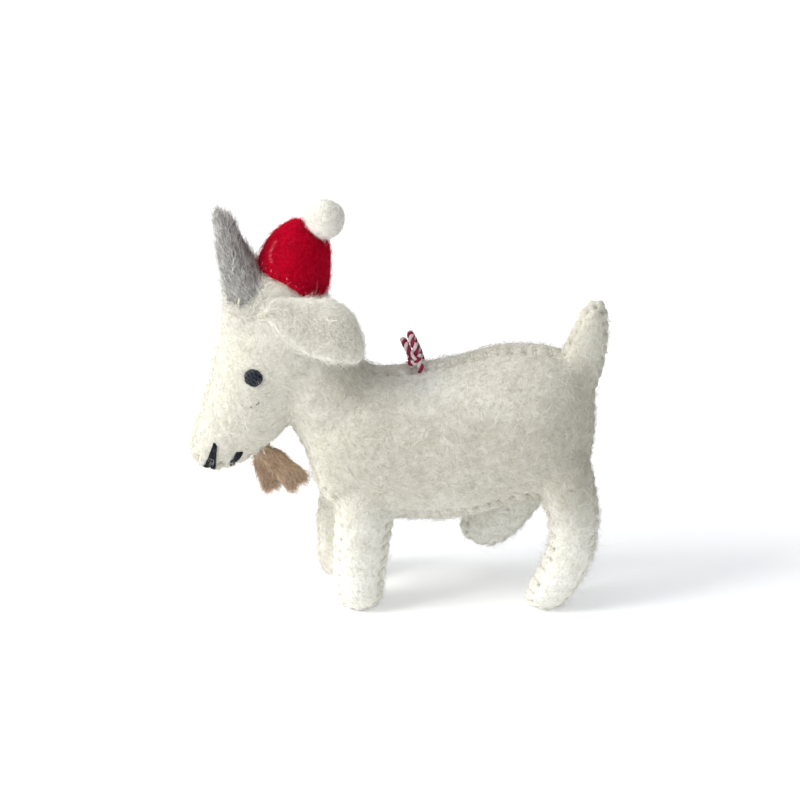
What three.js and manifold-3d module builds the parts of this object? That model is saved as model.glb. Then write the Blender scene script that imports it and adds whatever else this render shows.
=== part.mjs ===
// A small hand-sewn goat ornament of wool felt, standing on its feet, in millimetres.
// The goat faces -X, its left side is -Y and +Z is up.
// The origin is on the floor under the middle of its length.
// Two side panels and an underbody gusset are sewn into a skin, which is stuffed with wool.
// Ears, horns, a cap with a felt ball, a beard, embroidery and a hanging loop of twine are sewn to it.
import * as THREE from "three";
import { mergeVertices } from "three/addons/utils/BufferGeometryUtils.js";
import Module from "manifold-3d";

const wasm = await Module();
wasm.setup();

// Driving dimensions
const FELT = 1.8;
const GAP = 0.3;
const SEAM_GAP = 0.9;
const SEAM_THREAD = 0.3;
const THREAD_DEPTH = 1.0;
const THREAD_SINK = 0.2;
const TWINE = 1.8;
const GUSSET_HALF = 10.5;
const GUSSET_WALL_TOP = 32;
const GUSSET_TIP = 44;
const EYE_RADIUS = 2.6;
const EYE_DOME = 1.9;
const BALL_RADIUS = 5.5;
const STITCH_RADIUS = 0.3;
const STITCH_HOLE = 0.6;
const EMBROIDERY_TOP = 0.75;
const FULLNESS = 2.2;
const FAR = 200;
const LEG_AROUND = 12;
const HORN_AROUND = 14;

// Colours
const CREAM = 0xf1ede0;
const WOOL = 0xf7f3e8;
const THREAD_WHITE = 0xe6decb;
const GREY = 0x8f8c88;
const RED = 0xb0041c;
const TAN = 0xb08a68;
const NAVY = 0x14171f;
const TWINE_RED = 0xb35a66;

const Y_AXIS = new THREE.Vector3(0, 1, 0);

// A cross-section ring of a stuffed tube.
// It is an ellipse from point a to point b in the plane y, `half` wide each way.
function ring(ax, az, bx, bz, half, y = 0) {
  return { a: new THREE.Vector3(ax, y, az), b: new THREE.Vector3(bx, y, bz), half };
}

// Turns a closed geometry into a solid, facing out.
function solidOf(geometry) {
  const bare = geometry.clone();
  bare.deleteAttribute("normal");
  bare.deleteAttribute("uv");
  const merged = mergeVertices(bare, 1e-4);
  const build = (triVerts) =>
    new wasm.Manifold(
      new wasm.Mesh({ numProp: 3, vertProperties: merged.attributes.position.array, triVerts }),
    );
  const triangles = new Uint32Array(merged.index.array);
  const solid = build(triangles);
  return solid.volume() < 0 ? build(triangles.reverse()) : solid;
}

// Joins a row of closed sections, each with as many points, and closes both ends with a fan.
function skin(sections) {
  const around = sections[0].length;
  const positions = [];
  const indices = [];
  sections.flat().forEach((point) => positions.push(point.x, point.y, point.z));
  for (let i = 0; i < sections.length - 1; i += 1) {
    for (let j = 0; j < around; j += 1) {
      const here = i * around + j;
      const next = i * around + ((j + 1) % around);
      indices.push(here, next, here + around, next, next + around, here + around);
    }
  }
  const closeEnd = (first, flip) => {
    const middle = new THREE.Vector3();
    sections[first].forEach((point) => middle.addScaledVector(point, 1 / around));
    const centre = positions.length / 3;
    positions.push(middle.x, middle.y, middle.z);
    for (let j = 0; j < around; j += 1) {
      const here = first * around + j;
      const next = first * around + ((j + 1) % around);
      indices.push(centre, flip ? here : next, flip ? next : here);
    }
  };
  closeEnd(0, false);
  closeEnd(sections.length - 1, true);
  const geometry = new THREE.BufferGeometry();
  geometry.setAttribute("position", new THREE.Float32BufferAttribute(positions, 3));
  geometry.setIndex(indices);
  return solidOf(geometry);
}

// Fills out an oval a little, as stuffing does: FULLNESS 2 is a plain ellipse.
function rounded(value) {
  return Math.sign(value) * Math.abs(value) ** (2 / FULLNESS);
}

// A station part of the way between two others.
const mix = (from, to, share) => ({
  centre: from.centre.clone().lerp(to.centre, share),
  reach: from.reach.clone().lerp(to.reach, share),
  half: from.half + (to.half - from.half) * share,
});

// Moves both end stations of a tube outwards.
function extended(stations, distance) {
  const outwards = (end, before) => {
    const direction = end.centre.clone().sub(before.centre).normalize();
    return { ...end, centre: end.centre.clone().addScaledVector(direction, distance) };
  };
  const first = outwards(stations[0], stations[1]);
  const last = outwards(stations.at(-1), stations.at(-2));
  return [first, ...stations.slice(1, -1), last];
}

// Cuts both ends of a tube back.
function shortened(stations, distance) {
  const cutStart = (row) => {
    const inwards = row[1].centre.clone().sub(row[0].centre).normalize();
    const depths = row.map((station) => station.centre.clone().sub(row[0].centre).dot(inwards));
    const next = depths.findIndex((depth) => depth > distance);
    if (next < 1) return row;
    const share = (distance - depths[next - 1]) / (depths[next] - depths[next - 1]);
    return [mix(row[next - 1], row[next], share), ...row.slice(next)];
  };
  return cutStart(cutStart(stations).reverse()).reverse();
}

// A stuffed tube through its rings, made larger or smaller all over by `grow`.
function loft(rings, grow = 0, around = 16) {
  const stations = rings.map(({ a, b, half }) => ({
    centre: a.clone().add(b).multiplyScalar(0.5),
    reach: a.clone().sub(b).multiplyScalar(0.5),
    half,
  }));
  const moved = grow > 0 ? extended(stations, grow) : shortened(stations, -grow);
  return skin(
    moved.map(({ centre, reach, half }) => {
      const long = reach.clone().setLength(Math.max(reach.length() + grow, GAP));
      const wide = Math.max(half + grow, GAP);
      return Array.from({ length: around }, (_, j) => {
        const angle = (j / around) * 2 * Math.PI;
        const point = centre.clone().addScaledVector(long, rounded(Math.cos(angle)));
        point.y += wide * rounded(Math.sin(angle));
        return point;
      });
    }),
  );
}

// A box between two corners.
function block(low, high) {
  const size = high.map((value, i) => value - low[i]);
  const geometry = new THREE.BoxGeometry(...size);
  geometry.translate(...high.map((value, i) => (value + low[i]) / 2));
  return solidOf(geometry);
}

// A flat outline in the XZ plane, from y = near to y = far.
function plate(outline, near, far) {
  const shape = new THREE.Shape(outline.map(([x, z]) => new THREE.Vector2(x, z)));
  const geometry = new THREE.ExtrudeGeometry(shape, { depth: far - near, bevelEnabled: false });
  geometry.rotateX(Math.PI / 2);
  geometry.translate(0, far, 0);
  return solidOf(geometry);
}

// A round tube along a smooth line through the points.
function tube(points, radius, steps, sides = 8) {
  const section = new THREE.Shape();
  section.absarc(0, 0, radius, 0, 2 * Math.PI);
  const path = new THREE.CatmullRomCurve3(points.map((p) => new THREE.Vector3(...p)));
  const options = { steps, extrudePath: path, bevelEnabled: false, curveSegments: sides / 2 };
  return solidOf(new THREE.ExtrudeGeometry(section, options));
}

// A faceted ball.
function ballAt(centre, radius, around = 16, down = 12) {
  const geometry = new THREE.SphereGeometry(radius, around, down);
  geometry.translate(...centre);
  return solidOf(geometry);
}

// The largest body of a solid that a cut left in several.
function largest(solid) {
  return solid.decompose().reduce((best, body) => (body.volume() > best.volume() ? body : best));
}

const joined = (solids) => solids.reduce((sum, solid) => sum.add(solid));

// The stuffed body's rings. Each runs from the front or top (a) to the back or bottom (b).
const TORSO = [
  ring(-24.8, 50, -24, 40, 6),
  ring(-23.4, 57, -22.2, 33.5, 11),
  ring(-19, 62, -18.5, 28.3, 14.6),
  ring(-11, 65.5, -12, 25.4, 16.5),
  ring(0, 65.8, 0, 23.8, 17),
  ring(14, 68.3, 14, 23.5, 17.5),
  ring(28, 72, 28, 27, 17.5),
  ring(38, 72, 37.5, 29.5, 17),
  ring(45.5, 70.5, 44.5, 31.5, 14.8),
  ring(50, 67.5, 49, 35.5, 11.6),
  ring(52.4, 62.5, 51.8, 40.5, 8),
  ring(53.4, 57, 53.2, 47, 4.5),
];
const NECK = [
  ring(-18, 38, 6, 51, 13),
  ring(-24, 42, 2, 57, 13.5),
  ring(-28, 48.5, -7, 65.5, 12.8),
  ring(-33, 58, -13.5, 72.5, 11.8),
  ring(-38, 70, -16.5, 79, 11),
];
const HEAD = [
  ring(-36.2, 98, -25, 97.6, 7.2),
  ring(-41, 94.9, -21.5, 94.8, 10.2),
  ring(-44.9, 89.6, -19.3, 89.8, 11.7),
  ring(-47.6, 82.5, -17.2, 81.5, 12.4),
  ring(-49.4, 74.5, -17.5, 73, 12.6),
  ring(-51, 67, -22.5, 64, 12),
  ring(-52.5, 60.5, -27.6, 55.2, 11),
  ring(-54.3, 54.5, -32.4, 48.6, 9.6),
  ring(-56.1, 49.3, -37.2, 44.2, 8.2),
  ring(-57.1, 45.2, -42.2, 40.8, 7),
  ring(-56.7, 41.4, -46.4, 38.6, 5.4),
  ring(-54.8, 38.6, -50, 37.5, 3.4),
];
const TAIL = [
  ring(40, 66, 52.5, 56, 6),
  ring(45.1, 71.5, 55.3, 66, 4.9),
  ring(47.5, 76.8, 56.7, 73, 4.3),
  ring(49.6, 81.8, 57.1, 79.4, 3.8),
  ring(51.6, 85.2, 56.9, 83.8, 3),
  ring(53.6, 86.9, 55.9, 86.3, 1.9),
];

// Each leg's rings run from inside the body down to a rounded foot with a small flat sole.
const frontLeg = (side, forward) => [
  ring(-15, 40, -2, 40, 6.4, side * 7.4),
  ring(-16.6 - forward * 0.7, 30, -1.4 - forward * 0.7, 30, 7.2, side * 9.2),
  ring(-17.2 - forward, 20, -2.8 - forward, 20, 7, side * 10.2),
  ring(-17.4 - forward, 10, -4.4 - forward, 10, 6.7, side * 10.6),
  ring(-17.2 - forward, 4.5, -4.6 - forward, 4.5, 6.4, side * 10.8),
  ring(-15.9 - forward, 1.4, -5.9 - forward, 1.4, 5, side * 10.8),
  ring(-13.6 - forward, -0.4, -8.2 - forward, -0.4, 2.7, side * 10.8),
];
const RIGHT_FORWARD = 4.7;
const STANDING_REAR_LEG = [
  ring(33, 46, 51, 47, 7.4, -7),
  ring(37, 37.5, 53, 39, 8, -8.8),
  ring(41.2, 28.5, 54.6, 28.5, 7.4, -10.2),
  ring(41.8, 19, 53.9, 18, 6.8, -10.6),
  ring(39, 11, 51, 9.6, 6.5, -10.8),
  ring(35.9, 5, 48, 4.8, 6.2, -10.8),
  ring(35.6, 1.6, 45.6, 1.6, 4.8, -10.8),
  ring(37.6, -0.4, 43, -0.4, 2.7, -10.8),
];
const LIFTED_REAR_LEG = [
  ring(33, 46, 51, 47, 7.4, 7),
  ring(31.5, 35.5, 48.5, 37, 7.8, 9.2),
  ring(27, 28, 42.4, 26.5, 7.3, 11),
  ring(21.8, 21.4, 35.6, 16.6, 6.8, 12.2),
  ring(17.8, 16.2, 29.8, 10.2, 6.3, 13),
  ring(17.2, 12.2, 25.2, 8, 4.2, 13.2),
];
const LEGS = {
  left_front: frontLeg(-1, 0),
  right_front: frontLeg(1, RIGHT_FORWARD),
  left_rear: STANDING_REAR_LEG,
  right_rear: LIFTED_REAR_LEG,
};

// The whole stuffed shape, grown by `grow`, with flat soles.
function bodySolid(grow) {
  const tubes = [TORSO, NECK, HEAD, TAIL].map((rings) => loft(rings, grow));
  const legs = Object.values(LEGS).map((rings) => loft(rings, grow, LEG_AROUND));
  return joined([...tubes, ...legs]).intersect(block([-FAR, -FAR, -grow], [FAR, FAR, FAR]));
}

// The gusset's share of the skin.
// Its walls run straight beside the belly and down the legs, and close to a tip above.
function gussetZone(grow) {
  const half = GUSSET_HALF + grow;
  const outline = new THREE.Shape();
  outline.moveTo(-half, -FAR);
  outline.lineTo(half, -FAR);
  outline.lineTo(half, GUSSET_WALL_TOP + grow);
  outline.lineTo(0, GUSSET_TIP + 1.5 * grow);
  outline.lineTo(-half, GUSSET_WALL_TOP + grow);
  outline.closePath();
  const geometry = new THREE.ExtrudeGeometry(outline, { depth: 2 * FAR, bevelEnabled: false });
  geometry.translate(0, 0, -FAR);
  geometry.rotateX(Math.PI / 2);
  geometry.rotateZ(Math.PI / 2);
  return solidOf(geometry);
}

const body = bodySolid(0);
const clearBody = bodySolid(GAP);
const shell = body.subtract(bodySolid(-FELT));
const gusset = largest(shell.intersect(gussetZone(0)));
const sidePanels = shell.subtract(gussetZone(SEAM_GAP));
const HALF_GAP = SEAM_GAP / 2;
const leftHalf = block([-FAR, -FAR, -FAR], [FAR, -HALF_GAP, FAR]);
const rightHalf = block([-FAR, HALF_GAP, -FAR], [FAR, FAR, FAR]);
const leftPanel = largest(sidePanels.intersect(leftHalf));
const rightPanel = largest(sidePanels.intersect(rightHalf));

// Seam threads lie in the gaps between the felt edges, just under the surface.
const threadBand = bodySolid(-THREAD_SINK).subtract(bodySolid(-THREAD_SINK - THREAD_DEPTH));
const centreSlab = block([-FAR, -SEAM_THREAD / 2, -FAR], [FAR, SEAM_THREAD / 2, FAR]);
const centreThread = largest(threadBand.intersect(centreSlab).subtract(gussetZone(SEAM_GAP)));
const gussetWall = gussetZone(SEAM_GAP - GAP).subtract(gussetZone(GAP));
const gussetThread = threadBand.intersect(gussetWall);
const leftGussetThread = largest(gussetThread.intersect(leftHalf));
const rightGussetThread = largest(gussetThread.intersect(rightHalf));

// Wool stuffing, pushed in by the handful: head, body, then each leg.
const FILL = -FELT - GAP;
const headFill = loft(HEAD, FILL);
const torsoFill = joined([TORSO, NECK, TAIL].map((rings) => loft(rings, FILL)));
const bodyFill = largest(torsoFill.subtract(loft(HEAD, FILL + GAP)));
const torsoClear = loft(TORSO, FILL + GAP);
const aboveSoles = block([-FAR, -FAR, -FILL], [FAR, FAR, FAR]);
const legFill = (rings) =>
  largest(loft(rings, FILL, LEG_AROUND).intersect(aboveSoles).subtract(torsoClear));

// Ears: one cupped leaf of felt each. A station is [x, distance from the middle, z, half width].
const EAR = [
  [-36.4, 11.9, 88.2, 2.1],
  [-33.7, 13, 88.8, 4.3],
  [-30.1, 13.9, 87.7, 5.8],
  [-23, 15.4, 85.5, 7.9],
  [-17.5, 16.4, 85.6, 8.6],
  [-13.3, 17, 83.7, 6.9],
  [-11.1, 17.3, 81.9, 5],
  [-9.7, 17.5, 80.6, 2],
];
const EAR_LEAN = 0.34;
const EAR_CUP = 1.7;
const EAR_ROOT = new THREE.Vector3(EAR[0][0], 0, EAR[0][2]);
const RIGHT_EAR_DROOP = THREE.MathUtils.degToRad(42);
const ACROSS = 6;

function ear(side, droop) {
  const up = new THREE.Vector3(0, -side * EAR_LEAN, 1).normalize();
  const out = new THREE.Vector3(0, side, EAR_LEAN).normalize();
  const sections = EAR.map(([x, y, z, halfWidth]) => {
    const centre = new THREE.Vector3(x, side * y, z);
    const cup = EAR_CUP * (halfWidth / EAR[4][3]);
    const edge = (share, level) =>
      centre
        .clone()
        .addScaledVector(up, halfWidth * share)
        .addScaledVector(out, cup * (0.5 - share * share) + level)
        .sub(EAR_ROOT)
        .applyAxisAngle(Y_AXIS, droop)
        .add(EAR_ROOT);
    const shares = Array.from({ length: ACROSS + 1 }, (_, i) => (2 * i) / ACROSS - 1);
    const outer = shares.map((share) => edge(share, FELT / 2));
    const inner = shares.map((share) => edge(share, -FELT / 2)).reverse();
    return [...outer, ...inner];
  });
  return largest(skin(sections).subtract(clearBody));
}

// The stitch that holds an ear, beside its root.
function earStitch(side) {
  const points = [
    [-38.9, side * 11.4, 90],
    [-39.2, side * 12, 88.2],
    [-38.9, side * 12.3, 86.4],
  ];
  return largest(tube(points, STITCH_RADIUS, 6).subtract(clearBody));
}

// Horns: flattened felt cones, open below, stuffed with wool.
// The left one leans out, the right one leans in.
const LEFT_HORN = [
  ring(-46.2, 84, -37, 84, 4, -5),
  ring(-47.4, 90.5, -37.6, 90.7, 4, -5.2),
  ring(-48.9, 96, -39.4, 96.6, 3.7, -5.4),
  ring(-50.8, 107, -44.1, 107.6, 2.9, -5.6),
  ring(-51.2, 114, -46.9, 114.6, 2.3, -5.6),
  ring(-50.6, 116.8, -47.6, 117.1, 1.7, -5.6),
];
const RIGHT_HORN = [
  ring(-45.6, 84, -36.6, 84, 4, 5.4),
  ring(-46.6, 90.5, -37.2, 90.8, 4, 5.2),
  ring(-47.6, 95.5, -39, 96.3, 3.8, 4.8),
  ring(-48.6, 103, -42.3, 103.8, 3, 3.6),
  ring(-48.7, 109, -44.6, 110, 2.3, 2.5),
  ring(-48.1, 112, -45.6, 112.4, 1.6, 2.1),
];
const HORN_BASE = 89.3;
const aboveHornBase = block([-FAR, -FAR, HORN_BASE], [FAR, FAR, FAR]);
const hornCut = (solid) => largest(solid.intersect(aboveHornBase).subtract(clearBody));
const hornShell = (rings) => {
  const hollow = loft(rings, -FELT, HORN_AROUND);
  return hornCut(loft(rings, 0, HORN_AROUND).subtract(hollow));
};
const hornFill = (rings) => hornCut(loft(rings, FILL, HORN_AROUND));

// A thread laid flat round an oval.
function threadRing(centre, reach, halfWidth) {
  const geometry = new THREE.TorusGeometry(1, STITCH_RADIUS / halfWidth, 6, 28);
  geometry.scale(reach, halfWidth, halfWidth);
  geometry.translate(...centre);
  return solidOf(geometry);
}
const HORN_STITCH_ABOVE = 2.2;
function hornStitch(rings) {
  const [, base] = rings;
  const centre = [(base.a.x + base.b.x) / 2 - 0.4, base.a.y, base.a.z + HORN_STITCH_ABOVE];
  const clear = 2 * STITCH_RADIUS;
  const wrap = threadRing(centre, (base.b.x - base.a.x) / 2 + clear, base.half + clear);
  return largest(wrap.subtract(clearBody).subtract(loft(rings, GAP, HORN_AROUND)));
}

// Cap: a short felt cone pulled over the crown and bent back, open below.
const CAP_TIP = THREE.MathUtils.degToRad(22);
const CAP_ROLL = THREE.MathUtils.degToRad(-8);
const CAP_AROUND = 18;
const CAP_RIM = [-28.9, 0, 95];
const CAP = [
  ring(-39.4, 95.6, -20.2, 88.2, 9.8),
  ring(-37.9, 100.6, -19.1, 94.2, 9.8),
  ring(-36.6, 103.6, -18.8, 98.4, 9.4),
  ring(-35, 106.1, -18.8, 101.8, 8.5),
  ring(-32.8, 108.3, -19.2, 104.3, 7),
  ring(-30.4, 110, -20.9, 106, 5),
  ring(-28.6, 111.1, -23.2, 107.9, 2.9),
  ring(-27.6, 111.3, -25.2, 109.6, 1.4),
];
const RIM_STITCH_ABOVE = 1.8;
// A slab parallel to the tipped rim, between two heights above it.
function rimSlab(low, high) {
  const geometry = new THREE.BoxGeometry(FAR, FAR, high - low);
  geometry.translate(0, 0, (low + high) / 2);
  geometry.rotateX(CAP_ROLL);
  geometry.rotateY(CAP_TIP);
  geometry.translate(...CAP_RIM);
  return solidOf(geometry);
}
const capWhole = loft(CAP, 0, CAP_AROUND);
const BALL = [-20.2, 0, 111.4];
const BALL_THREAD = [BALL, [-25.2, 0, 104.2]];
const ballThreadHole = tube(BALL_THREAD, STITCH_HOLE, 1);
const cap = largest(
  capWhole
    .subtract(loft(CAP, -FELT, CAP_AROUND))
    .intersect(rimSlab(0, FAR))
    .subtract(clearBody)
    .subtract(ballThreadHole),
);
const capRimStitch = largest(
  loft(CAP, GAP + 2 * STITCH_RADIUS, CAP_AROUND)
    .subtract(loft(CAP, GAP, CAP_AROUND))
    .intersect(rimSlab(RIM_STITCH_ABOVE - STITCH_RADIUS, RIM_STITCH_ABOVE + STITCH_RADIUS))
    .subtract(clearBody),
);

// Felt ball, held on the cap by a thread through both.
const feltBall = largest(
  ballAt(BALL, BALL_RADIUS).subtract(loft(CAP, GAP, CAP_AROUND)).subtract(ballThreadHole),
);
const ballThread = tube(BALL_THREAD, STITCH_RADIUS, 2);

// Eyes: domes of wound thread on the skin.
function eye(side) {
  const geometry = new THREE.SphereGeometry(EYE_RADIUS, 14, 10);
  geometry.scale(1, EYE_DOME / EYE_RADIUS, 1);
  geometry.translate(-40.2, side * 12, 69.2);
  return largest(solidOf(geometry).subtract(clearBody));
}

// Nose and mouth: satin-stitch wedges that lie on the skin, tip up, running under the muzzle.
const embroideryBand = bodySolid(EMBROIDERY_TOP).subtract(clearBody);
const NOSE = [
  [-50.1, 47.2],
  [-53.4, 38.4],
  [-50.7, 38],
  [-49.6, 45.5],
];
const MOUTH = [
  [-42.8, 44.8],
  [-46.6, 37.6],
  [-44.2, 37.6],
  [-42.3, 43.5],
];
function embroidery(outline, side) {
  const low = side < 0 ? -FAR : GAP;
  const high = side < 0 ? -GAP : FAR;
  return largest(embroideryBand.intersect(plate(outline, low, high)));
}

// Beard: two tan felt strips side by side, each held by one stitch through its root.
const BEARD_ROOT = [-36.4, 41.9];
const STRIP_THICK = 1.5;
const ROOT_TONGUE = 1.5;
const LONG_STRIP = { y: -1.15, end: [-27.4, 32.7], root: 1.6, tip: 3.4 };
const SHORT_STRIP = { y: 1.15, end: [-35.9, 30.8], root: 1.5, tip: 2 };
function strip({ y, end, root, tip }) {
  const [rootX, rootZ] = BEARD_ROOT;
  const along = new THREE.Vector2(end[0] - rootX, end[1] - rootZ).normalize();
  const across = new THREE.Vector2(-along.y, along.x);
  const corner = (x, z, back, halfWidth) => [
    x + along.x * back + across.x * halfWidth,
    z + along.y * back + across.y * halfWidth,
  ];
  const middleX = (rootX + end[0]) / 2;
  const middleZ = (rootZ + end[1]) / 2;
  const outline = [
    corner(rootX, rootZ, -ROOT_TONGUE, -root / 2),
    corner(rootX, rootZ, 0, -root),
    corner(middleX, middleZ, 0, -(root + tip) / 2),
    corner(end[0], end[1], 0, -tip),
    corner(end[0], end[1], 0, tip),
    corner(middleX, middleZ, 0, (root + tip) / 2),
    corner(rootX, rootZ, 0, root),
    corner(rootX, rootZ, -ROOT_TONGUE, root / 2),
  ];
  const hole = tube([[rootX, -FAR / 10, rootZ], [rootX, FAR / 10, rootZ]], STITCH_HOLE, 1);
  return plate(outline, y - STRIP_THICK / 2, y + STRIP_THICK / 2).subtract(hole);
}
const beardStitch = tube(
  [[BEARD_ROOT[0], -2.5, BEARD_ROOT[1]], [BEARD_ROOT[0], 2.5, BEARD_ROOT[1]]],
  STITCH_RADIUS,
  2,
);

// Hanging loop: twine that stands up from its knot, bends over the back and hangs down the right flank.
const LOOP_ROUTE = [
  [3.3, 0.2, 71.1],
  [2.3, 1.2, 72.4],
  [1.6, 2.9, 73.2],
  [1.3, 4.9, 73.1],
  [1.7, 7.1, 71.6],
  [2.5, 9.3, 68.8],
  [3.2, 11.9, 65],
  [3.5, 14.8, 60.3],
  [3.2, 17.4, 54.7],
  [2.7, 19.1, 48.2],
  [2.1, 19.5, 41.4],
  [1.7, 19.5, 34.8],
  [2.1, 19.5, 29.8],
  [3.7, 19.5, 26.6],
  [6.2, 19.5, 25.5],
  [8.7, 19.5, 26.7],
  [10.2, 19.5, 29.9],
  [10.3, 19.6, 35],
  [9.7, 19.6, 41.8],
  [8.8, 19.3, 48.6],
  [7.8, 17.9, 55.2],
  [6.8, 15.5, 61.1],
  [5.8, 12.8, 65.8],
  [4.7, 10.2, 69.8],
  [3.8, 8, 72.7],
  [3.3, 5.8, 74.7],
  [3.2, 3.4, 75],
  [3.8, 1.5, 73.9],
  [4.6, 0.7, 72.3],
];
const LOOP_STEPS = 52;
const KNOT = [4.7, -0.4, 69.6];
const KNOT_RADIUS = 1.75;
const knotRoom = ballAt(KNOT, KNOT_RADIUS + GAP);
const loopKnot = ballAt(KNOT, KNOT_RADIUS, 12, 8).add(
  tube([KNOT, [3.6, -1.4, 69.6], [2.6, -2, 69.5]], TWINE / 2, 4),
);
const hangingLoop = tube(LOOP_ROUTE, TWINE / 2, LOOP_STEPS).subtract(knotRoom);
const anchorStrand = largest(
  tube([[6.3, -2.9, 65.4], [6.2, -2.6, 67.6], [5.5, -1.6, 69.2]], TWINE / 2, 5)
    .subtract(clearBody)
    .subtract(knotRoom),
);

// Assembly
const group = new THREE.Group();
function add(name, solid, color, roughness = 0.95) {
  const { vertProperties, triVerts } = solid.getMesh();
  const geometry = new THREE.BufferGeometry();
  geometry.setAttribute("position", new THREE.Float32BufferAttribute(vertProperties, 3));
  geometry.setIndex(new THREE.Uint32BufferAttribute(triVerts, 1));
  geometry.computeVertexNormals();
  const material = new THREE.MeshStandardMaterial({ color, roughness, metalness: 0 });
  const mesh = new THREE.Mesh(geometry, material);
  mesh.name = name;
  group.add(mesh);
}

add("left_side_panel", leftPanel, CREAM);
add("right_side_panel", rightPanel, CREAM);
add("underbody_gusset", gusset, CREAM);
add("head_stuffing", headFill, WOOL);
add("body_stuffing", bodyFill, WOOL);
Object.entries(LEGS).forEach(([name, rings]) => add(`${name}_leg_stuffing`, legFill(rings), WOOL));
add("centre_seam_thread", centreThread, THREAD_WHITE);
add("left_gusset_seam_thread", leftGussetThread, THREAD_WHITE);
add("right_gusset_seam_thread", rightGussetThread, THREAD_WHITE);
add("left_ear", ear(-1, 0), CREAM);
add("right_ear", ear(1, RIGHT_EAR_DROOP), CREAM);
[["left", -1, LEFT_HORN], ["right", 1, RIGHT_HORN]].forEach(([name, side, hornRings]) => {
  add(`${name}_ear_stitch`, earStitch(side), THREAD_WHITE);
  add(`${name}_horn`, hornShell(hornRings), GREY);
  add(`${name}_horn_stuffing`, hornFill(hornRings), WOOL);
  add(`${name}_horn_stitch`, hornStitch(hornRings), THREAD_WHITE);
  add(`${name}_eye`, eye(side), NAVY, 0.5);
  add(`${name}_nose_embroidery`, embroidery(NOSE, side), NAVY, 0.5);
  add(`${name}_mouth_embroidery`, embroidery(MOUTH, side), NAVY, 0.5);
});
add("cap", cap, RED);
add("cap_rim_stitch", capRimStitch, RED);
add("felt_ball", feltBall, WOOL);
add("felt_ball_thread", ballThread, THREAD_WHITE);
add("long_beard_strip", strip(LONG_STRIP), TAN);
add("short_beard_strip", strip(SHORT_STRIP), TAN);
add("beard_stitch", beardStitch, THREAD_WHITE);
add("hanging_loop", hangingLoop, TWINE_RED, 0.8);
add("loop_knot", loopKnot, TWINE_RED, 0.8);
add("loop_anchor_strand", anchorStrand, TWINE_RED, 0.8);

export default group;
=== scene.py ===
"""The looks of a hand-sewn felt goat ornament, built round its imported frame.

Shapes are worked out in millimetres, in the frame's own axes.
The goat faces -X, its left side is -Y, +Z is up.
Each piece becomes metres when its mesh is made.
"""

import math

import bpy
import numpy as np
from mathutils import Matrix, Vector, kdtree, noise
from mathutils.bvhtree import BVHTree


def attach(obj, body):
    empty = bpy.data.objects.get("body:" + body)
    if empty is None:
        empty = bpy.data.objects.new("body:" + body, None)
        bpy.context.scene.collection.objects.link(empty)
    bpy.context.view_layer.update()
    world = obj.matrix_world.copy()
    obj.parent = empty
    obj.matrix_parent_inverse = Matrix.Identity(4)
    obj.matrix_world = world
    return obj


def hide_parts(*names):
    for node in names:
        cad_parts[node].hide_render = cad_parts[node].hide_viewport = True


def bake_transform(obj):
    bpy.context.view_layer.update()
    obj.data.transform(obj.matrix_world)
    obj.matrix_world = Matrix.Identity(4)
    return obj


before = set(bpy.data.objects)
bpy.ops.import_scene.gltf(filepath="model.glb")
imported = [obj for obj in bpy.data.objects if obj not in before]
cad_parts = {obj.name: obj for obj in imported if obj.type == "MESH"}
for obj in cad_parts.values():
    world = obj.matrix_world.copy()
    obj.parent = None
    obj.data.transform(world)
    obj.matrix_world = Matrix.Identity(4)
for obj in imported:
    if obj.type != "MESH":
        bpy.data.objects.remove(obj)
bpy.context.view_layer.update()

MM = 0.001
TAU = 2 * math.pi
UP = np.array([0.0, 0.0, 1.0])

# ---- camera, light and floor

AIM = Vector((0.0004, 0.0, 0.0572))
CAMERA_AWAY = 4.0
CAMERA_RISE = math.radians(24)
PICTURE_HEIGHT = 0.22
SENSOR = 36.0
FLOOR_WIDTH = 28.0


def aimed(name, data, place):
    """The camera or a lamp, put in its place and turned to the goat."""
    thing = bpy.data.objects.new(name, data)
    thing.location = place
    thing.rotation_mode = "QUATERNION"
    thing.rotation_quaternion = (AIM - Vector(place)).to_track_quat("-Z", "Y")
    bpy.context.scene.collection.objects.link(thing)
    return thing


def make_camera():
    data = bpy.data.cameras.new("camera")
    data.sensor_width = SENSOR
    data.lens = SENSOR * CAMERA_AWAY / PICTURE_HEIGHT
    data.clip_start, data.clip_end = 0.01, 50
    back = Vector((0, -math.cos(CAMERA_RISE), math.sin(CAMERA_RISE)))
    bpy.context.scene.camera = aimed("camera", data, AIM + back * CAMERA_AWAY)


def area_light(name, place, size, power, colour):
    data = bpy.data.lights.new(name, "AREA")
    data.shape, data.size, data.energy, data.color = "DISK", size, power, colour
    aimed(name, data, place)


def make_studio():
    world = bpy.data.worlds.new("studio")
    world.use_nodes = True
    sky = world.node_tree.nodes["Background"]
    sky.inputs["Color"].default_value = (0.95, 0.97, 1.0, 1)
    sky.inputs["Strength"].default_value = 0.515
    bpy.context.scene.world = world
    bpy.context.scene.view_settings.view_transform = "Standard"
    area_light("key", (-0.80, -0.24, 0.60), 0.65, 11.2, (1.0, 0.985, 0.955))
    area_light("top", (-0.15, 0.20, 0.9), 0.7, 1.5, (0.97, 0.98, 1.0))


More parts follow.
